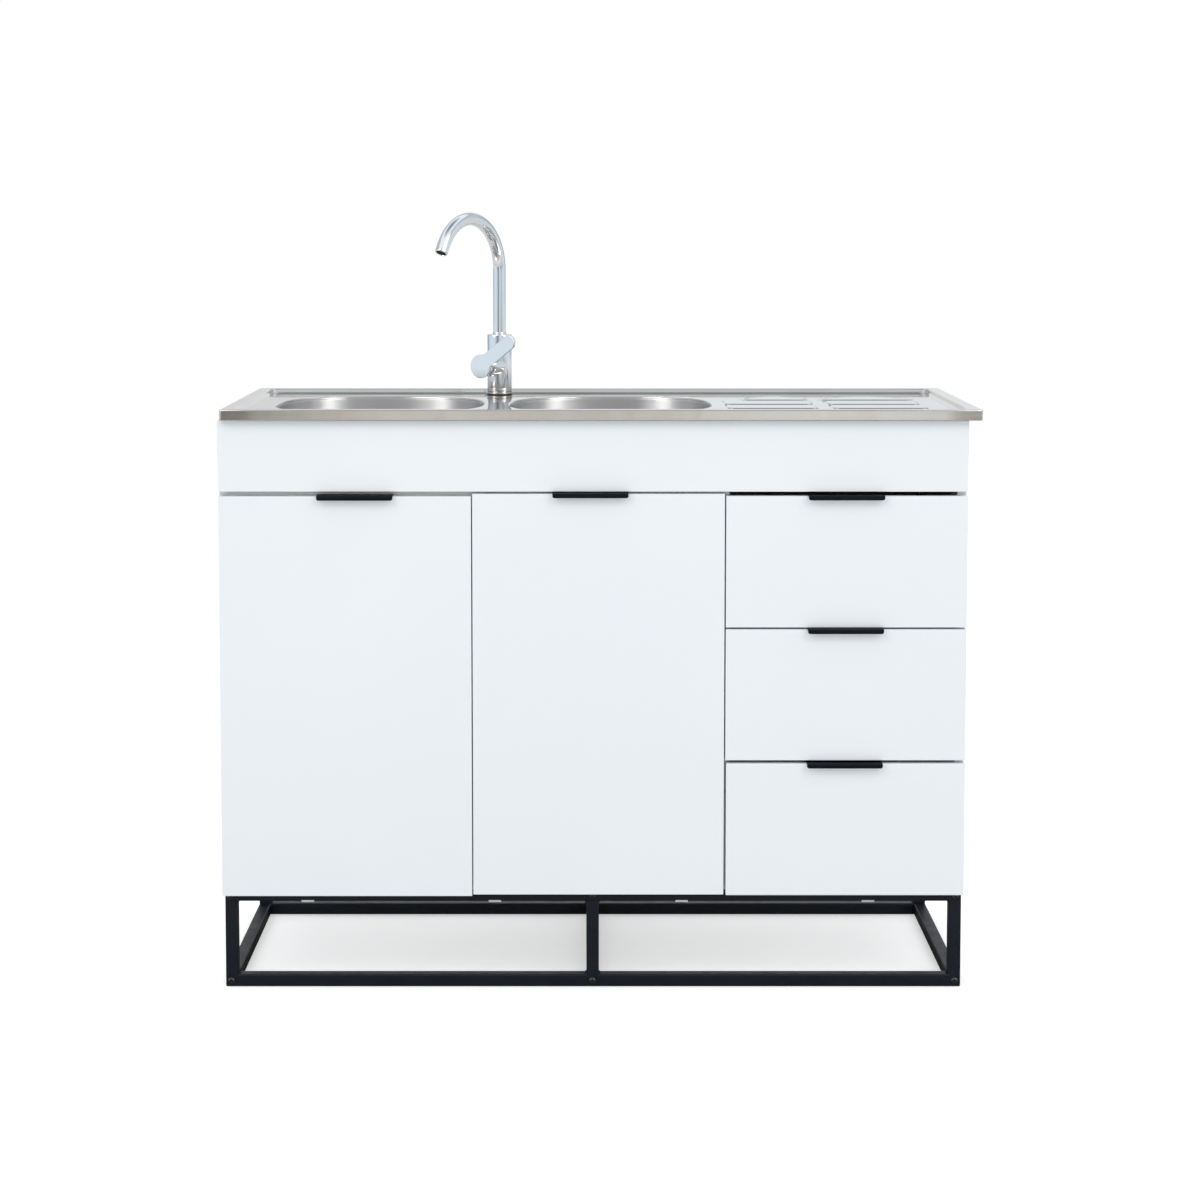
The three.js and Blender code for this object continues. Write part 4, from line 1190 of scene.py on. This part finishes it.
def strainer(side):
    cx = BOWLS[side][0]
    z = DECK_Z - BOWL_DEPTH - 8 + 0.3
    bm = bmesh.new()
    # flange and basket wall
    add_lathe(bm, [(38.0, z + 1.9), (36.6, z + 1.0), (35.9, z - 1.5), (35.0, z - 19.5), (34.2, z - 20.3), (34.2, z - 21.4), (35.6, z - 21.0),
                   (36.2, z - 19.8), (37.1, z - 1.5), (37.6, z - 0.1), (38.6, z + 0.5), (49.4, z + 0.3), (50.1, z + 0.5), (50.3, z + 1.0), (49.8, z + 1.5),
                   (44.0, z + 2.3)], seg=72, at=Matrix.Translation((cx, BOWL_Y, 0)), closed=True)
    # the perforated bottom, with a round hole in each place of a ring pattern
    sheet = bmesh.new()
    loops, verts = [], []
    outer = [(34.6 * math.cos(2 * math.pi * i / 72), 34.6 * math.sin(2 * math.pi * i / 72)) for i in range(72)]
    loops.append(outer)
    for ring, count, r in ((11.5, 10, 2.4), (18.5, 16, 2.4), (25.5, 22, 2.4), (31.0, 28, 1.8)):
        for k in range(count):
            a = 2 * math.pi * (k + 0.5 * (count % 4 == 0)) / count
            px, py = ring * math.cos(a), ring * math.sin(a)
            loops.append([(px + r * math.cos(2 * math.pi * i / 12), py + r * math.sin(2 * math.pi * i / 12)) for i in range(12)])
    points, edges = [], []
    for loop in loops:
        start = len(points)
        points += [Vector(p) for p in loop]
        edges += [(start + i, start + (i + 1) % len(loop)) for i in range(len(loop))]
    v2, _, f2, _, _, _ = delaunay_2d_cdt(points, edges, [], 0, 1e-5)
    lay = [sheet.verts.new((cx + v.x, BOWL_Y + v.y, z - 20.6 - 1.2 * (1 - (v.length / 34.6) ** 2))) for v in v2]
    for tri in f2:
        x, y = sum(v2[i].x for i in tri) / 3, sum(v2[i].y for i in tri) / 3
        if math.hypot(x, y) > 34.6 or any(inside(x, y, loop) for loop in loops[1:] if math.hypot(x - loop[0][0], y - loop[0][1]) < 8):
            continue
        sheet.faces.new([lay[i] for i in tri])
    bmesh.ops.recalc_face_normals(sheet, faces=sheet.faces)
    made = bmesh.ops.solidify(sheet, geom=list(sheet.faces), thickness=0.7)
    for f in sheet.faces:
        f.smooth = False
    absorb(bm, sheet)
    # post and knob
    add_lathe(bm, [(0, z - 23.4), (7.0, z - 23.2), (7.0, z - 21.0), (3.4, z - 20.2), (3.2, z + 3.5), (4.2, z + 4.6), (8.2, z + 6.0), (9.2, z + 7.6), (9.3, z + 10.4),
                   (8.4, z + 12.4), (6.2, z + 13.7), (2.5, z + 14.0), (0, z + 14.0)], seg=40, at=Matrix.Translation((cx, BOWL_Y, 0)))
    piece(f"{side}_basket_strainer", bm, ["bowl"], f"{side}_strainer", [f"{side}_strainer"], angle=40)


for side in BOWLS:
    bowl(side)
    strainer(side)


# ------------------------------------------------------------------ wastes and trap
def add_nut(bm, centre, axis, r, length, ribs=16, mat=0):
    """A ribbed plastic union nut."""
    profile = [(r - 3.0, 0.0), (r - 0.4, 0.0), (r, 0.6), (r, length - 1.4), (r - 1.4, length), (r - 3.0, length), (r - 3.4, length - 0.3), (r - 3.4, 0.3)]
    add_lathe(bm, profile, seg=ribs * 6, at=basis(centre, axis), closed=True, mat=mat,
              shape=lambda a, k: 1.0 + (0.035 if k in (1, 2, 3) and math.cos(ribs * a) > 0.1 else 0.0))


def waste_parts():
    top = DECK_Z - BOWL_DEPTH - 8 - 1.2 - 0.3
    xl, xr, y = BOWLS["left"][0], BOWLS["right"][0], BOWL_Y
    bm = bmesh.new()
    for x in (xl, xr):
        add_lathe(bm, [(54.0, top), (54.0, top - 3.2), (52.6, top - 4.2), (44.6, top - 5.2), (43.5, top - 7.0), (43.5, top - 38.5), (41.0, top - 42.0),
                       (24.5, top - 49.5), (23.0, top - 51.5), (23.0, top - 56.0), (20.4, top - 56.0), (20.4, top - 50.0), (22.5, top - 47.5),
                       (39.5, top - 38.5), (41.5, top - 36.0), (41.5, top)], seg=72, at=Matrix.Translation((x, y, 0)), closed=True)
        for k in range(12):
            a = 2 * math.pi * k / 12
            add_box(bm, (x + 43.0 * math.cos(a) - 1.0, y + 43.0 * math.sin(a) - 1.0, top - 37), (x + 43.0 * math.cos(a) + 1.0, y + 43.0 * math.sin(a) + 1.0, top - 6),
                    r=0.4, seg=1)
    # left branch: down, round the bend, and across to the trap
    path = [(xl, y, top - 52), (xl, y, top - 76)]
    for i in range(1, 10):
        a = math.radians(90 * i / 10)
        path.append((xl + 24 * (1 - math.cos(a)), y, top - 76 - 24 * math.sin(a)))
    path += [(xl + 24, y, top - 100), (xl + 120, y, top - 102), (xr - 60, y, top - 105.2), (xr - 16, y, top - 106)]
    add_sweep(bm, path, 18.5, seg=40)
    add_nut(bm, (xl, y, top - 66), (0, 0, 1), 26.0, 16.0)
    add_nut(bm, (xl + 30, y, top - 100.2), (1, 0, 0), 24.5, 16.0)
    add_nut(bm, (xr - 44, y, top - 105.5), (1, 0, 0), 24.5, 16.0)
    # right waste, straight down into the bottle
    add_sweep(bm, [(xr, y, top - 52), (xr, y, top - 126)], 20.0, seg=40)
    add_nut(bm, (xr, y, top - 68), (0, 0, 1), 27.5, 17.0)
    add_nut(bm, (xr, y, top - 128), (0, 0, 1), 30.0, 17.0)
    add_lathe(bm, [(0, top - 124), (26, top - 124), (31, top - 125.5), (35.5, top - 131), (37.6, top - 140), (37.6, top - 182), (36.6, top - 184), (0, top - 184)],
              seg=72, at=Matrix.Translation((xr, y, 0)))
    add_lathe(bm, [(0, top - 183), (37.8, top - 183), (38.2, top - 184), (38.0, top - 199), (35.5, top - 205), (30.0, top - 209.5), (12.0, top - 211.6), (0, top - 212)],
              seg=96, at=Matrix.Translation((xr, y, 0)), shape=lambda a, k: 1.0 - (0.03 if k in (2, 3) and math.cos(16 * a) > 0.2 else 0.0))
    # outlet to the wall
    z = OUTLET_Z
    add_sweep(bm, [(xr, y + 20, z), (xr, 247.6, z)], 18.8, seg=40)
    add_nut(bm, (xr, y + 37, z), (0, 1, 0), 25.0, 17.0)
    piece("waste_pipes_and_trap", bm, ["pipe"], "cabinet", ["waste_trap"], angle=42)
    # rubber washers under the bowls
    bm = bmesh.new()
    for x in (xl, xr):
        add_lathe(bm, [(45.5, top + 0.25), (53.5, top + 0.25), (53.8, top - 0.4), (53.5, top - 1.0), (45.5, top - 1.0)], seg=64,
                  at=Matrix.Translation((x, y, 0)), closed=True)
    piece("waste_washers", bm, ["rubber"], "cabinet")


waste_parts()


# ------------------------------------------------------------------ tap
def tap_body():
    base, top = TAP_BASE, TAP_BODY_TOP
    bm = bmesh.new()
    place = Matrix.Translation((TAP_X, TAP_Y, 0))
    prof = [(0, base + 1.0), (17.0, base + 1.0), (21.8, base + 0.9), (22.3, base + 1.2), (22.5, base + 1.7), (22.5, base + 3.6), (22.2, base + 4.1),
            (21.7, base + 4.3), (21.55, base + 4.7), (21.7, base + 5.1), (22.2, base + 5.3), (22.45, base + 5.7), (22.45, base + 8.6), (22.2, base + 9.3),
            (21.6, base + 9.9), (21.3, base + 10.6), (21.25, base + 11.6), (21.25, base + 60), (21.25, top - 1.7), (21.1, top - 1.0), (20.7, top - 0.45),
            (20.0, top - 0.12), (19.0, top), (0, top)]
    add_lathe(bm, prof, seg=96, at=place)
    # the side housing for the cartridge
    hub = basis((TAP_X, TAP_Y, HUB_Z), HUB_DIR, x=(-HUB_DIR.y, HUB_DIR.x, 0))
    add_lathe(bm, [(0, 0), (18.6, 0), (18.9, 14), (19.0, 34.0), (18.9, 35.5), (18.5, 36.7), (17.9, 37.4), (17.2, 37.9), (16.6, 38.5), (0, 38.5)], seg=96, at=hub)
    # threaded shank under the deck
    thread = [(0, 867.0), (13.4, 867.0)]
    z = 868.0
    while z < 924.0:
        thread += [(14.4, z), (13.5, z + 0.75)]
        z += 1.5
    thread += [(14.0, 925.0), (14.0, base + 1.0), (0, base + 1.0)]
    add_lathe(bm, thread, seg=48, at=place, mat=1)
    # seal between the flange and the deck
    add_lathe(bm, [(15.0, base - 0.25), (21.6, base - 0.25), (21.9, base + 0.3), (21.6, base + 1.0), (15.0, base + 1.0)], seg=72, at=place, mat=2, closed=True)
    piece("tap_body_casting", bm, ["chrome", "brass", "rubber"], "cabinet", ["tap_body"], angle=40)
    # washer and nut that clamp the deck
    bm = bmesh.new()
    add_lathe(bm, [(15.0, 925.6), (24.0, 925.6), (24.3, 924.8), (24.3, 923.2), (24.0, 922.4), (15.0, 922.4)], seg=64, at=place, closed=True, mat=1)
    add_lathe(bm, [(15.0, 922.3), (23.0, 922.3), (23.2, 921.9), (23.2, 921.1), (23.0, 920.7), (15.0, 920.7)], seg=64, at=place, closed=True)
    hexagon = [(20.5 * math.cos(math.radians(60 * i)), 20.5 * math.sin(math.radians(60 * i))) for i in range(6)]
    inner = bmesh.new()
    add_lathe(inner, [(14.6, 920.5), (18.6, 920.5), (19.8, 919.6), (19.8, 910.4), (18.6, 909.5), (14.6, 909.5)], seg=60, at=place, closed=True,
              shape=lambda a, k: (hex_scale(a) * 0.97) if k in (2, 3) else 1.0)
    mesh = bpy.data.meshes.new("scratch")
    inner.to_mesh(mesh)
    inner.free()
    bm.from_mesh(mesh)
    bpy.data.meshes.remove(mesh)
    piece("tap_fixing_nut", bm, ["zinc", "rubber"], "cabinet", angle=30)


def tap_stem():
    bm = bmesh.new()
    at = basis((TAP_X, TAP_Y, HUB_Z), HUB_DIR, x=(-HUB_DIR.y, HUB_DIR.x, 0))
    add_lathe(bm, [(0, 38.8), (12.4, 38.8), (13.0, 39.3), (13.0, 44.4), (12.4, 45.3), (11.0, 45.5), (0, 45.5)], seg=64, at=at)
    piece("tap_cartridge_cap", bm, ["chrome"], "tap_stem", ["tap_cartridge_stem"], angle=40)


def spout_path():
    goose_z = TAP_TOP - NECK_R - GOOSE_R
    foot = Vector((TAP_X, TAP_Y, TAP_BODY_TOP + 0.3))
    pts = [foot + Vector((0, 0, (goose_z - foot.z) * i / 10)) for i in range(10)]
    centre = Vector((TAP_X, TAP_Y, goose_z))
    n = 72
    tangent = None
    for i in range(n + 1):
        a = math.radians(GOOSE_ARC * i / n)
        pts.append(centre + SPOUT_DIR * (GOOSE_R - GOOSE_R * math.cos(a)) + Vector((0, 0, GOOSE_R * math.sin(a))))
        tangent = SPOUT_DIR * math.sin(a) + Vector((0, 0, math.cos(a)))
    end = pts[-1]
    for d in (5.0, 10.0, TAIL - 1.4, TAIL - 0.5, TAIL - 0.1):
        pts.append(end + tangent * d)
    return pts, end + tangent * TAIL, tangent


def tap_spout():
    pts, end, tangent = spout_path()
    bm = bmesh.new()
    seg = 64
    rings = []
    frames = frames_along(pts)
    n = len(frames)
    for k, (p, t, u, v) in enumerate(frames):
        r = {n - 3: NECK_R, n - 2: NECK_R - 0.18, n - 1: NECK_R - 0.6}.get(k, NECK_R)
        rings.append([bm.verts.new(p + (u * math.cos(2 * math.pi * i / seg) + v * math.sin(2 * math.pi * i / seg)) * r) for i in range(seg)])
    p, t, u, v = frames[-1]
    p = end
    # over the mouth's rim and back inside
    for r, d in ((NECK_R - 1.1, 0.0), (8.9, 0.0), (8.6, -0.4), (8.55, -8.8)):
        rings.append([bm.verts.new(p + t * d + (u * math.cos(2 * math.pi * i / seg) + v * math.sin(2 * math.pi * i / seg)) * r) for i in range(seg)])
    for ra, rb in zip(rings, rings[1:]):
        for i in range(seg):
            bm.faces.new((ra[i], ra[(i + 1) % seg], rb[(i + 1) % seg], rb[i])).smooth = True
    bm.faces.new(list(reversed(rings[0])))
    bm.faces.new(rings[-1])
    bmesh.ops.recalc_face_normals(bm, faces=bm.faces)
    z = TAP_BODY_TOP + 0.3
    add_lathe(bm, [(10.2, z), (11.8, z), (12.0, z + 0.3), (12.1, z + 0.7), (12.1, z + 2.2), (11.95, z + 2.7), (11.7, z + 3.1), (11.3, z + 3.4), (11.05, z + 3.5), (10.2, z + 3.5)],
              seg=72, at=Matrix.Translation((TAP_X, TAP_Y, 0)), closed=True)
    piece("tap_swan_neck", bm, ["chrome"], "tap_spout", ["tap_spout"], angle=40)
    # aerator: a ring with a grid of fine bars
    bm = bmesh.new()
    at = basis(end, tangent)
    add_lathe(bm, [(6.9, -8.4), (8.3, -8.4), (8.3, -1.2), (8.0, -0.8), (7.3, -0.8), (7.0, -1.2)], seg=56, at=at, closed=True)
    add_lathe(bm, [(0, -8.3), (7.2, -8.3), (7.2, -3.4), (0, -3.4)], seg=40, at=at, mat=1)
    for k in range(-3, 4):
        d = k * 2.0
        w = math.sqrt(max(0.0, 7.1 ** 2 - d * d))
        for axis in (0, 1):
            low, high = [d - 0.28, -w, -2.6], [d + 0.28, w, -1.9]
            if axis:
                low[0], low[1], high[0], high[1] = low[1], low[0], high[1], high[0]
            tmp = bmesh.new()
            add_box(tmp, low, high, r=0.1, seg=1)
            bmesh.ops.transform(tmp, matrix=at, verts=tmp.verts)
            absorb(bm, tmp)
    piece("spout_aerator", bm, ["dark", "rubber"], "tap_spout", ["tap_aerator"], angle=35)


def tap_lever():
    """A round hub whose flat face runs on into the paddle, with a soft hollow where they meet on top."""
    rise = math.radians(PADDLE_RISE)
    r, w, length = HUB_R, PADDLE_W / 2, PADDLE
    pts = []
    # paddle along local X: lower edge out, round tip, upper edge back, hollow, then round the hub
    a0 = math.asin(w / r)
    n = 6
    start = (r * math.cos(a0), -w)
    for i in range(n + 1):
        pts.append((start[0] + (length - w - start[0]) * i / n, -w))
    for i in range(1, 14):
        a = -math.pi / 2 + math.pi * i / 14
        pts.append((length - w + w * math.cos(a), w * math.sin(a)))
    fillet = 16.0
    # centre of the hollow's circle, outside both the hub and the paddle's upper edge
    cy = w + fillet
    cx = math.sqrt((r + fillet) ** 2 - cy ** 2)
    for i in range(n + 1):
        pts.append((length - w + (cx - (length - w)) * i / n, w))
    touch = Vector((cx, cy)) * (r / (r + fillet))
    b0 = -math.pi / 2
    b1 = math.atan2(touch.y - cy, touch.x - cx)
    if b1 > 0:
        b1 -= 2 * math.pi
    for i in range(1, 8):
        a = b0 + (b1 - b0) * i / 7
        pts.append((cx + fillet * math.cos(a), cy + fillet * math.sin(a)))
    h0 = math.atan2(touch.y, touch.x)
    h1 = 2 * math.pi - a0
    for i in range(1, 44):
        a = h0 + (h1 - h0) * i / 44
        pts.append((r * math.cos(a), r * math.sin(a)))
    hub = basis((TAP_X, TAP_Y, HUB_Z), HUB_DIR, x=(-HUB_DIR.y, HUB_DIR.x, 0))
    turn = Matrix.Rotation(rise, 4, "Z")
    bm = bmesh.new()
    add_prism(bm, pts, 5.0, hub @ turn @ Matrix.Translation((0, 0, HUB_FACE - 5.0)), bevel=0.7, seg=4)
    # the hub's body behind the face
    b = HUB_BACK
    add_lathe(bm, [(0, b), (16.8, b), (17.6, b + 0.4), (18.2, b + 1.2), (19.3, b + 5.0), (20.0, b + 7.9), (0, b + 7.9)], seg=96, at=hub)
    # the small plug over the grub screw, on the under side
    add_lathe(bm, [(0, 0), (2.4, 0), (2.4, 0.9), (2.0, 1.3), (0, 1.4)], seg=24,
              at=hub @ Matrix.Rotation(math.radians(-120), 4, "Z") @ Matrix.Translation((18.0, 0, b + 3.6)) @ Matrix.Rotation(math.pi / 2, 4, "Y"))
    piece("tap_lever_handle", bm, ["chrome"], "tap_lever", ["tap_lever"], angle=40, weighted=True)


tap_body()
tap_stem()
tap_spout()
tap_lever()


# ------------------------------------------------------------------ studio
def studio_floor():
    """A pale floor. The camera sees it a little brighter than it lights the unit, and in polished steel it shows
    painted shade: darker and warmer near the unit, fading out with distance and towards the back."""
    mesh = bpy.data.meshes.new("studio_floor")
    bm = bmesh.new()
    bmesh.ops.create_circle(bm, cap_ends=True, radius=9.0, segments=96)
    for v in bm.verts:
        v.co.z = -0.0006
    bm.to_mesh(mesh)
    bm.free()
    f = Finish("studio_floor", Metallic=0.0, Roughness=0.9, Specular_IOR_Level=0.1)
    pale = f.ramp(f.noise(f.place(), 1.5, 2.0), [(0.3, (0.90, 0.905, 0.91)), (0.7, (0.915, 0.92, 0.925))])
    path, length = f.node("ShaderNodeLightPath"), f.node("ShaderNodeVectorMath", operation="LENGTH")
    f.link(f.place(), length.inputs[0])
    # painted shade for reflections: the floor is dark and warm near the unit and pale further out
    seen = f.ramp(f.span(length.outputs["Value"], 0.0, 1.0, 0.6, 3.2), [(0.0, (0.16, 0.13, 0.105)), (0.45, (0.33, 0.30, 0.27)), (1.0, (0.80, 0.79, 0.77))], "LINEAR")
    split = f.node("ShaderNodeSeparateXYZ")
    f.link(f.place(), split.inputs[0])
    seen = f.mix(f.span(split.outputs["Y"], 0.0, 1.0, 0.05, 0.45), seen, (0.80, 0.79, 0.77))
    # glossy rays see the painted shade, all other rays see the pale floor
    f.colour(f.mix(path.outputs["Is Glossy Ray"], pale, seen))
    glow = f.mix(path.outputs["Is Camera Ray"], (0.0, 0.0, 0.0), (0.445, 0.445, 0.445))
    f.link(glow, f.shader.inputs["Emission Color"])
    f.shader.inputs["Emission Strength"].default_value = 1.0
    mesh.materials.append(f.mat)
    floor = bpy.data.objects.new("studio_floor", mesh)
    scene.collection.objects.link(floor)


studio_floor()


def studio_world():
    world = bpy.data.worlds.new("studio")
    scene.world = world
    world.use_nodes = True
    tree = world.node_tree
    tree.nodes.clear()
    new, link = tree.nodes.new, tree.links.new
    coord, split = new("ShaderNodeTexCoord"), new("ShaderNodeSeparateXYZ")
    link(coord.outputs["Generated"], split.inputs[0])

    def calc(kind, a, b=0.0):
        n = new("ShaderNodeMath")
        n.operation = kind
        for socket, value in zip(n.inputs, (a, b)):
            if isinstance(value, (int, float)):
                socket.default_value = value
            else:
                link(value, socket)
        return n.outputs[0]

    def span(value, a, b, c, d):
        n = new("ShaderNodeMapRange")
        for socket, v in zip(n.inputs[1:5], (a, b, c, d)):
            socket.default_value = v
        link(value, n.inputs[0])
        return n.outputs[0]

    def ramp(value, stops, kind="EASE"):
        n = new("ShaderNodeValToRGB")
        n.color_ramp.interpolation = kind
        while len(n.color_ramp.elements) < len(stops):
            n.color_ramp.elements.new(0.5)
        for e, (p, c) in zip(n.color_ramp.elements, stops):
            e.position, e.color = p, (*c, 1.0)
        link(value, n.inputs[0])
        return n.outputs[0]

    def mix(share, a, b):
        n = new("ShaderNodeMix")
        n.data_type = "RGBA"
        for socket, value in ((n.inputs[0], share), (n.inputs[6], a), (n.inputs[7], b)):
            if isinstance(value, (int, float)):
                socket.default_value = value
            elif isinstance(value, tuple):
                socket.default_value = (*value, 1.0)
            else:
                link(value, socket)
        return n.outputs[2]

    # azimuth: 0 looks to the front of the room, positive to the right
    azimuth = calc("ARCTAN2", split.outputs[0], calc("MULTIPLY", split.outputs[1], -1.0))
    height = calc("ARCSINE", split.outputs[2])

    def at(deg):
        return (deg + 180.0) / 360.0
    around = ramp(span(azimuth, -math.pi, math.pi, 0.0, 1.0), [
        (at(-180), (0.85, 0.87, 0.89)), (at(-173), (0.74, 0.755, 0.76)), (at(-164), (0.70, 0.715, 0.72)), (at(-146), (0.36, 0.43, 0.49)), (at(-122), (0.42, 0.50, 0.57)),
        (at(-104), (0.66, 0.75, 0.83)), (at(-70), (0.72, 0.81, 0.89)), (at(-44), (0.66, 0.75, 0.82)), (at(-27), (0.44, 0.50, 0.55)),
        (at(-18), (0.20, 0.24, 0.28)), (at(-8), (0.41, 0.44, 0.465)), (at(2), (0.58, 0.60, 0.63)), (at(12), (0.80, 0.82, 0.85)), (at(26), (0.62, 0.68, 0.73)),
        (at(40), (0.46, 0.53, 0.58)), (at(58), (0.66, 0.75, 0.80)), (at(92), (0.72, 0.80, 0.85)), (at(112), (0.62, 0.71, 0.77)),
        (at(130), (0.42, 0.50, 0.57)), (at(148), (0.34, 0.41, 0.47)), (at(165), (0.80, 0.84, 0.87)), (at(180), (0.86, 0.89, 0.91)),
    ], "EASE")
    above = ramp(span(height, 0.0, math.pi / 2, 0.0, 1.0), [
        (0.0, (0.60, 0.61, 0.62)), (0.26, (0.585, 0.575, 0.57)), (0.36, (0.615, 0.60, 0.59)), (0.46, (0.46, 0.52, 0.58)), (0.55, (0.93, 0.98, 1.0)), (0.66, (0.90, 0.95, 1.0)), (0.78, (0.50, 0.55, 0.60)), (0.87, (0.32, 0.35, 0.39)),
        (1.0, (0.30, 0.33, 0.37))])
    below = ramp(span(azimuth, -math.pi, math.pi, 0.0, 1.0), [
        (at(-180), (0.60, 0.59, 0.58)), (at(-120), (0.50, 0.51, 0.52)), (at(-90), (0.56, 0.61, 0.65)), (at(-56), (0.575, 0.62, 0.655)),
        (at(-34), (0.34, 0.33, 0.32)), (at(-14), (0.13, 0.115, 0.10)), (at(-7.4), (0.14, 0.125, 0.11)), (at(-6.3), (0.70, 0.68, 0.65)),
        (at(-3), (0.68, 0.665, 0.64)), (at(0), (0.53, 0.52, 0.50)), (at(1.6), (0.54, 0.53, 0.51)), (at(3.2), (0.78, 0.79, 0.80)),
        (at(8.8), (0.80, 0.81, 0.82)), (at(9.6), (0.30, 0.28, 0.25)), (at(34), (0.34, 0.33, 0.31)), (at(66), (0.44, 0.44, 0.44)),
        (at(90), (0.58, 0.60, 0.62)), (at(180), (0.60, 0.59, 0.58))], "LINEAR")
    brighter = new("ShaderNodeVectorMath")
    brighter.operation = "SCALE"
    brighter.inputs["Scale"].default_value = 1.35
    link(below, brighter.inputs[0])
    below = brighter.outputs["Vector"]
    lifted = mix(span(height, math.radians(14), math.radians(30), 0.0, 1.0), around, above)
    # two tall windows of light, which draw the upright streaks in the bowls and along the swan neck
    side = calc("ABSOLUTE", azimuth)
    window = calc("MULTIPLY", span(side, math.radians(36), math.radians(46), 0.0, 1.0), span(side, math.radians(56), math.radians(70), 1.0, 0.0))
    window = calc("MULTIPLY", window, span(height, math.radians(7), math.radians(13), 0.0, 1.0))
    window = calc("MULTIPLY", window, span(height, math.radians(32), math.radians(44), 1.0, 0.0))
    lifted = mix(window, lifted, (4.9, 4.9, 4.9))
    gloss = mix(span(height, math.radians(-1.6), math.radians(-3.6), 0.0, 1.0), lifted, below)
    diffuse = ramp(span(split.outputs[2], -1.0, 1.0, 0.0, 1.0), [(0.0, (0.71, 0.72, 0.735)), (0.42, (0.84, 0.85, 0.87)), (0.5, (1.06, 1.065, 1.085)), (0.66, (0.88, 0.88, 0.895)), (1.0, (0.75, 0.755, 0.765))], "LINEAR")
    path = new("ShaderNodeLightPath")
    chosen = mix(path.outputs["Is Glossy Ray"], diffuse, gloss)
    chosen = mix(path.outputs["Is Camera Ray"], chosen, (1.0, 1.0, 1.0))
    back, out = new("ShaderNodeBackground"), new("ShaderNodeOutputWorld")
    link(chosen, back.inputs["Color"])
    link(back.outputs[0], out.inputs["Surface"])


studio_world()


def soft_light(name, location, target, size, power, colour=(1, 1, 1)):
    data = bpy.data.lights.new(name, "AREA")
    data.shape, data.size, data.size_y = "RECTANGLE", size[0], size[1]
    data.energy, data.color = power, colour
    obj = bpy.data.objects.new(name, data)
    obj.location = location
    obj.rotation_euler = (Vector(target) - Vector(location)).to_track_quat("-Z", "Y").to_euler()
    scene.collection.objects.link(obj)
    return obj


soft_light("left_softbox", (-2.07, -2.75, 3.5), (0.0, -0.1, 0.6), (1.6, 1.6), 24.0, (1.0, 1.0, 1.0))
soft_light("right_softbox", (2.07, -2.75, 3.5), (0.0, -0.1, 0.6), (1.6, 1.6), 24.0, (0.98, 0.99, 1.0))

camera_data = bpy.data.cameras.new("photo_camera")
camera = bpy.data.objects.new("photo_camera", camera_data)
scene.collection.objects.link(camera)
camera.location = (-0.0228, -4.130, 1.236)
camera.rotation_euler = (math.radians(90.0 - 4.4), 0.0, 0.0)
camera_data.sensor_width = 36.0
camera_data.lens = 74.40
camera_data.shift_x, camera_data.shift_y = 0.0126, -0.16
camera_data.clip_start, camera_data.clip_end = 0.05, 60.0
scene.camera = camera

scene.view_settings.view_transform = "Standard"
scene.view_settings.look = "None"
scene.view_settings.exposure = 0.0
